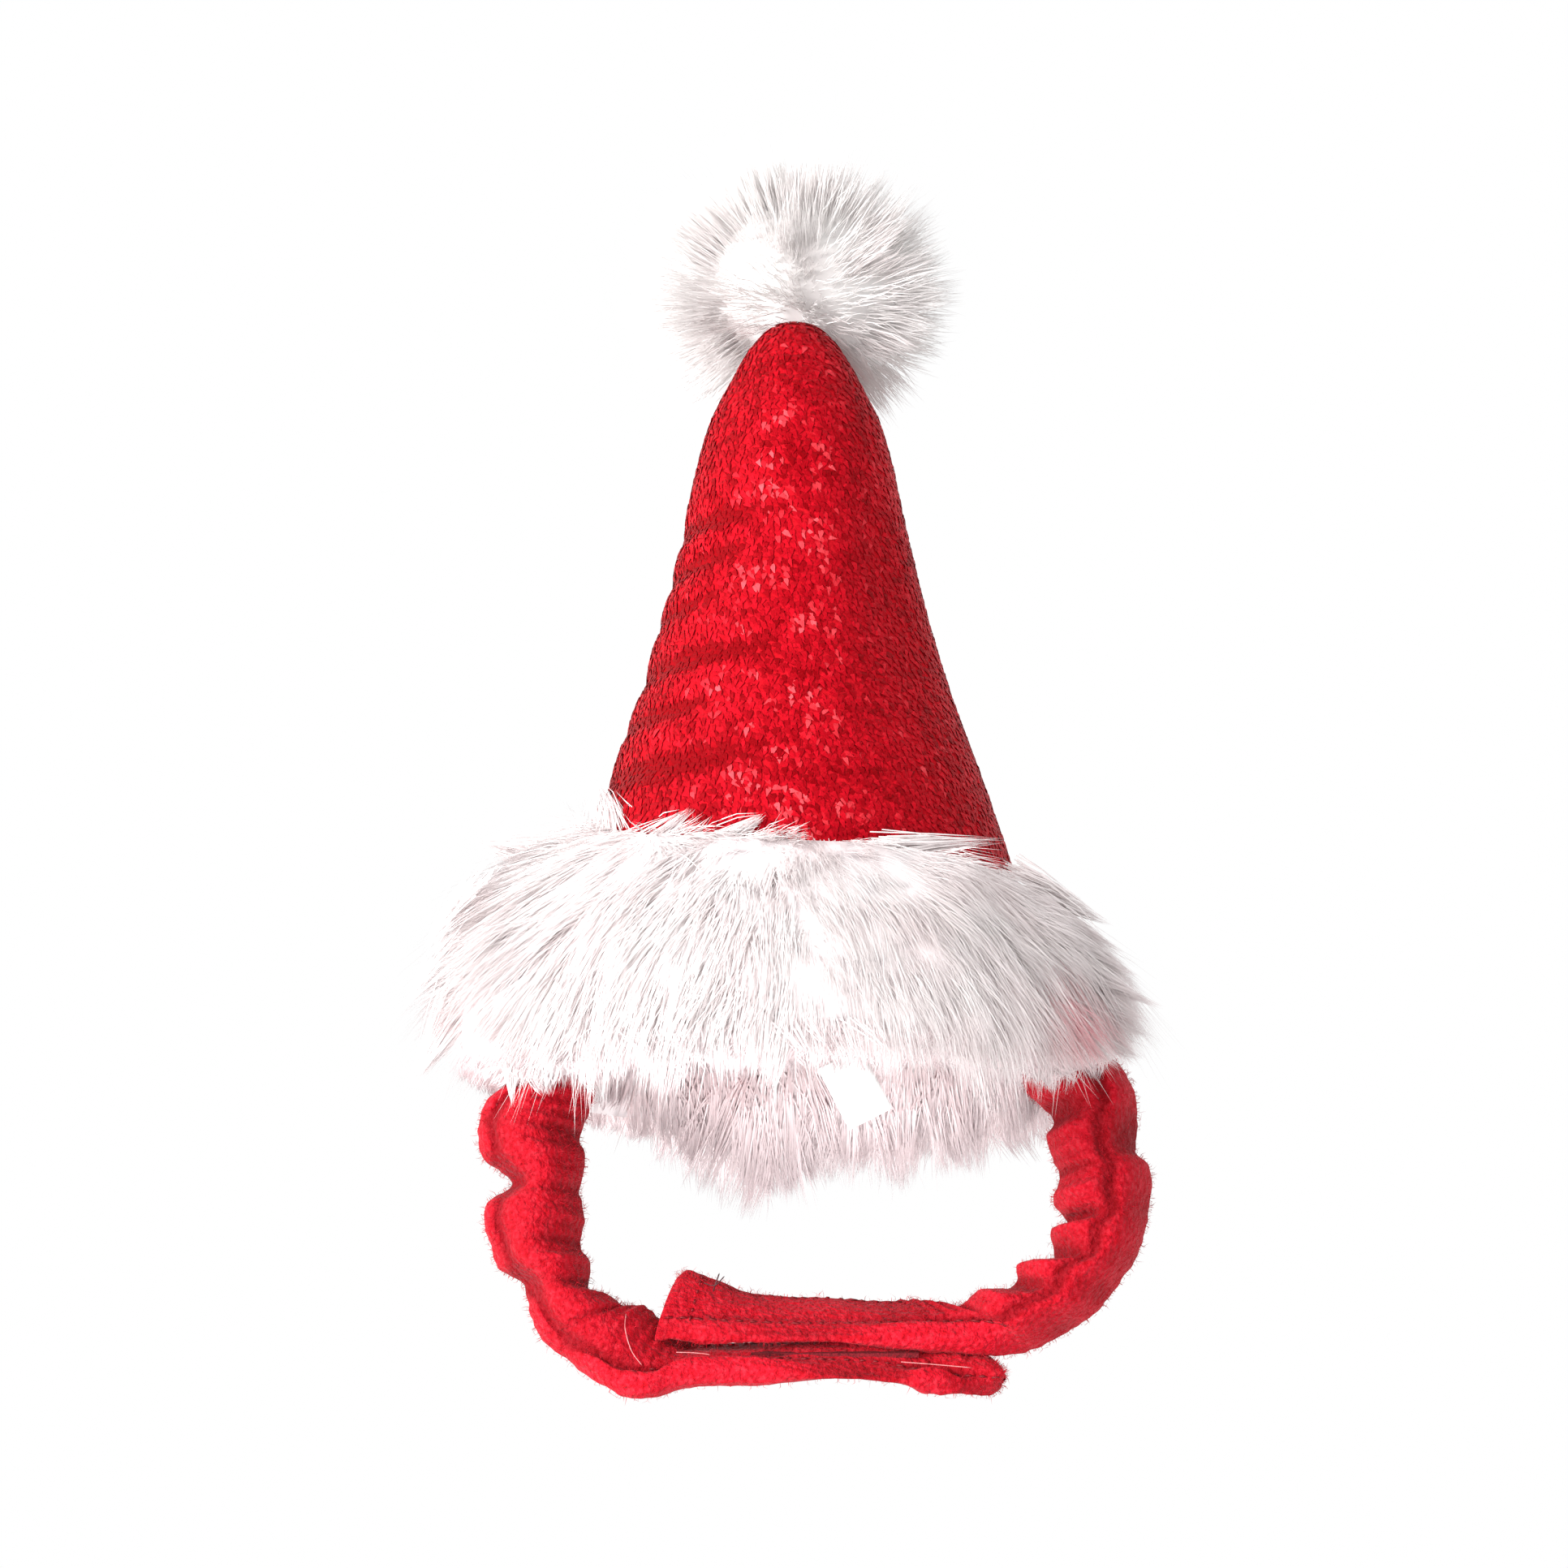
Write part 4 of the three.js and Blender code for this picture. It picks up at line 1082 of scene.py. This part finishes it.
class Band:
    """A soft gathered band between two edges, as a grid of points in millimetres."""

    def __init__(self, rows, side, seed):
        table = columns(BAND_COLUMNS, smooth_rows(np.array(rows), BAND_STEPS))
        strap = smoothstep(*TAB_TO_STRAP, np.abs(table["inner_x"] + table["outer_x"]) / 2)
        level = 1 - 0.9 * strap
        inner = picture_point(table["inner_x"], table["inner_up"], table["back"] * level)
        outer = picture_point(table["outer_x"], table["outer_up"], table["front"] * level)
        middle, half = (inner + outer) / 2, (outer - inner) / 2
        self.side, self.run = side, run_along(middle)
        self.along = unit(np.gradient(blur(middle, 22), axis=0))
        self.face = unit(np.cross(self.along, half)) * side
        thick = table["thick"][:, None] * 0.6
        seen = np.linalg.norm(half[:, [0, 2]], axis=1, keepdims=True)
        stands = thick * np.linalg.norm(self.face[:, [0, 2]], axis=1, keepdims=True)
        half = half * np.sqrt(np.clip(1 - (0.9 * stands / np.maximum(seen, 0.1)) ** 2, 0.35, 1))
        angle = round_angles(BAND_SIDES)[None]
        across = signed_power(np.cos(angle), BAND_SOFT_CORNER)
        through = signed_power(np.sin(angle), BAND_SOFT_CORNER)
        relief = self.relief(across, inner, outer, half, middle, table["sewn"][:, None], seed)
        # painted light and shade for the fleece: low in the valleys, high on the ridges
        self.relief_light_and_shade = np.clip(0.5 + 0.4 * relief, 0, 1)
        deep = thick * through + signed_power(through, 0.6) * relief
        roof = BAND_ROOF[side] * strap[:, None] * (1 - across ** 2)
        points = middle[:, None] + half[:, None] * across[..., None]
        points += self.face[:, None] * deep[..., None]
        points += FRONT * roof[..., None]
        flat = points.reshape(-1, 3)
        rough = 0.34 * smooth_noise(flat, 1.7, seed) + 0.5 * smooth_noise(flat, 6.5, seed + 1)
        self.points = points + unit(points - middle[:, None]) * rough.reshape(*points.shape[:2], 1)

    def relief(self, across, inner, outer, half, middle, sewn, seed):
        """How far the cloth stands off: ridges behind each tooth of an edge, a valley at each notch."""
        outward = unit(half)
        tooth = -np.sum((inner - blur(inner, 30)) * outward, -1, keepdims=True)
        lobe = np.sum((outer - blur(outer, 40)) * outward, -1, keepdims=True)
        inner_side = smoothstep(sewn + 0.05, -0.8, across)
        outer_side = smoothstep(sewn, 0.8, across)
        run = self.run[:, None]
        gathered = smoothstep(4, 14, run) * smoothstep(16, 30, np.abs(middle[:, :1]))
        ripple = 0.4 * np.sin(run * FULL_TURN / 3.9 + 2.5 * np.sin(run * 0.21 + seed))
        groove = np.exp(-((across - sewn) / 0.15) ** 2)
        edge = np.exp(-((across - 0.86) / 0.08) ** 2)
        lump = 0.9 * np.sin(run * FULL_TURN / 12 + 1.9 * np.sin(run * 0.13 + seed))
        raised = 1.2 * tooth * inner_side + (1.4 * lobe + gathered * lump) * outer_side
        raised += gathered * ripple * inner_side
        ending = smoothstep(0, 12, run[-1] - run)
        return ending * (np.clip(raised, -1.8, 1.6) - (0.5 + 1.3 * gathered) * groove - 0.3 * edge)

    def on_front(self, row, across):
        """Points on the band's front at rows of its table and places across it (-1 inner, 1 outer)."""
        bend = np.arccos(signed_power(across, 1 / BAND_SOFT_CORNER))
        line = np.clip(np.round(np.asarray(row) * BAND_STEPS), 0, len(self.points) - 1).astype(int)
        turn = np.where(self.face[line] @ FRONT > 0, bend, FULL_TURN - bend)
        side = np.round(turn / FULL_TURN * BAND_SIDES).astype(int) % BAND_SIDES
        return self.points[line, side]

    def mesh(self, name):
        shifts = (-0.3 * MM * self.along[0], 0.6 * MM * self.along[-1])
        piece = closed_mesh(name, self.points * MM, RED_FLEECE, shifts, flipped=self.side < 0)
        number(piece, "raised", np.append(self.relief_light_and_shade.ravel(), [0.5, 0.5]))
        return piece


def make_fuzz(name, base, seed):
    """Short loose fibres standing off a cloth piece."""
    random = np.random.default_rng(seed)
    count = FUZZ_FIBRES
    mesh = base.data
    polygons = random.choice(len(mesh.polygons), count)
    centres, normals = np.empty((2, len(mesh.polygons) * 3))
    mesh.polygons.foreach_get("center", centres)
    mesh.polygons.foreach_get("normal", normals)
    roots = centres.reshape(-1, 3)[polygons]
    out = normals.reshape(-1, 3)[polygons]
    ways = unit(out * 0.8 + random.normal(0, 0.6, (count, 3)))
    long = FUZZ_LONG * random.uniform(0.5, 1.4, (count, 1))
    tips = roots + ways * long + random.normal(0, 0.2, (count, 3)) * long
    paths = np.stack([roots - out * 0.1 * MM, roots + out * long * 0.5, tips], 1)
    sideways = np.cross(out, random.normal(0, 1, (count, 3)))
    piece = strand_piece(name, paths, np.tile(FUZZ_RADII, (count, 1)), RED_FLEECE, seed, sideways)
    # the fibres take the paler end: painted highlight
    number(piece, "raised", np.repeat(random.uniform(0.7, 1.0, count), len(piece.data.vertices) // count))
    return piece


def make_stitches(bands):
    """Sewn lines of the tabs and straps: short threads that lie on the cloth."""
    starts, ends = [], []
    for name, across, *span in STITCH_LINES:
        band = bands[name]
        table_rows = np.arange(len(band.run)) / BAND_STEPS
        first, last = np.interp(span, table_rows, band.run)
        runs = np.arange(first, last, STITCH_PITCH)
        places = np.full(len(runs), across)
        starts.append(band.on_front(np.interp(runs, band.run, table_rows), places))
        ends.append(band.on_front(np.interp(runs + STITCH_LONG, band.run, table_rows), places))
    seam_rows = np.full(len(TAB_SEAM_ACROSS), TAB_SEAM_ROW)
    starts.append(bands["right"].on_front(seam_rows, TAB_SEAM_ACROSS))
    ends.append(bands["right"].on_front(seam_rows, TAB_SEAM_ACROSS + TAB_SEAM_LONG))
    starts, ends = np.concatenate(starts) * MM, np.concatenate(ends) * MM
    out = np.tile(FRONT + 0.4 * UP, (len(starts), 1))
    paths = np.stack([starts, (starts + ends) / 2 + out * 0.25 * MM, ends], 1)
    radii = np.full((len(starts), 2), STITCH_RADIUS)
    vertices, faces = tubes(paths, radii, 4, np.zeros(len(starts)), out, 1.0)
    return new_mesh("stitches", vertices, faces, RED_THREAD)


def make_thread(name, points, radius, material):
    """One loose thread through points of the photograph."""
    curve = smooth_rows(np.array(points), 6)
    path = picture_point(*curve.T)[None] * MM
    radii = np.full((1, len(curve) - 1), radius)
    vertices, faces = tubes(path, radii, 5, np.zeros(1), FRONT[None], 1.0)
    return new_mesh(name, vertices, faces, material)


def make_label():
    """A bare ribbon, hanging from the rim and curled a little to the front."""
    centre = np.mean([v.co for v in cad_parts["label"].data.vertices], 0)
    right = np.array([math.cos(LABEL_TILT), 0, math.sin(LABEL_TILT)])
    up = np.array([-math.sin(LABEL_TILT), 0, math.cos(LABEL_TILT)])
    sections, corners = 10, 24
    across = (np.arange(sections) / (sections - 1) - 0.5)[:, None, None]
    angle = round_angles(corners)[None, :, None]
    high = signed_power(np.cos(angle), 0.25)
    deep = LABEL_HALF_THICK * signed_power(np.sin(angle), 0.5)
    curl = 0.9 * MM * (0.5 - high / 2) ** 2 + 0.5 * MM * across ** 2
    rings = centre + right * LABEL_WIDE * across + up * LABEL_LONG / 2 * high + FRONT * (deep + curl)
    return closed_mesh("label_ribbon", rings, SATIN)


# Pieces
cloth = keep(make_crown_cloth(), "red_plush", "crown")
pile = keep(make_crown_pile(), "red_plush")
trim = keep(make_brim_core(), "white_fur", "brim_fur")
keep(make_brim_outside("brim_fur_right", -math.pi / 2, seed=21), "white_fur")
keep(make_brim_outside("brim_fur_left", math.pi / 2, seed=31), "white_fur")
keep(make_brim_inside(seed=41), "white_fur")
keep(make_brim_locks(seed=45), "white_fur")
core = keep(make_pompom_core(), "white_fur", "pompom")
keep(make_pompom_fur(seed=51), "white_fur")
BANDS = {"right": Band(BAND_RIGHT, side=1, seed=61), "left": Band(BAND_LEFT, side=-1, seed=71)}
for name, fuzz_seed in [("right", 64), ("left", 74)]:
    band = keep(BANDS[name].mesh("band_" + name), "red_fleece", "strap_" + name, "tab_" + name)
    fuzz = keep(make_fuzz("band_fuzz_" + name, band, fuzz_seed), "red_fleece")
keep(make_stitches(BANDS), "red_fleece")
for name, points in THREADS:
    dark = "dark" in name
    radius, material = (DARK_THREAD_RADIUS, DARK_THREAD) if dark else (PALE_THREAD_RADIUS, PALE_THREAD)
    keep(make_thread(name, points, radius, material), "red_fleece")
label = keep(make_label(), "white_satin", "label")
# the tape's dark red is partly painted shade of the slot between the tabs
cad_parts["closure_patch"].data.materials.clear()
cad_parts["closure_patch"].data.materials.append(TAPE)


# Stage
def make_floor():
    mesh = bpy.data.meshes.new("floor")
    ring = round_angles(FLOOR_CORNERS)
    corners = np.stack([np.cos(ring), np.sin(ring), np.zeros(FLOOR_CORNERS)], -1) * FLOOR_RADIUS
    mesh.from_pydata((corners + UP * FLOOR_HEIGHT).tolist(), [], [list(range(FLOOR_CORNERS))])
    mesh.materials.append(mottled_material("floor", (0.85, 0.85, 0.85), (0.87, 0.87, 0.87), 3, 0.9))
    new_object("floor", mesh)


def make_light(name, place, aim, size, power, cone=None):
    """A soft square light, or a round one that only shines into a cone."""
    if cone is None:
        light = bpy.data.lights.new(name, "AREA")
        light.size = size
    else:
        light = bpy.data.lights.new(name, "SPOT")
        light.shadow_soft_size = size / 2
        light.spot_size = cone
        light.spot_blend = FILL_BLEND
    light.energy = power
    lamp = new_object(name, light)
    lamp.location = place
    lamp.rotation_euler = (Vector(aim) - Vector(place)).to_track_quat("-Z", "Y").to_euler()


def make_camera():
    camera = bpy.data.cameras.new("camera")
    camera.sensor_width = SENSOR
    camera.sensor_height = SENSOR
    frame_width = PHOTO_PIXELS / PIXELS_PER_MM * MM
    camera.lens = SENSOR * CAMERA_DISTANCE / frame_width
    eye = new_object("camera", camera)
    forward = np.array([0, math.cos(CAMERA_RISE), math.sin(CAMERA_RISE)])
    up = np.array([0, -math.sin(CAMERA_RISE), math.cos(CAMERA_RISE)])
    eye.location = np.array([AIM_ACROSS, 0, 0]) + up * AIM_UP - forward * CAMERA_DISTANCE
    eye.rotation_euler = (math.pi / 2 + CAMERA_RISE, 0, 0)
    bpy.context.scene.camera = eye


def make_world():
    world = bpy.data.worlds.new("studio")
    world.use_nodes = True
    background = world.node_tree.nodes["Background"]
    background.inputs["Color"].default_value = (1, 1, 1, 1)
    background.inputs["Strength"].default_value = 1.0
    bpy.context.scene.world = world


make_floor()
make_light("key", *KEY_LIGHT)
make_light("fill", *FILL_LIGHT, cone=FILL_CONE)
make_camera()
make_world()
bpy.context.scene.view_settings.view_transform = "Standard"
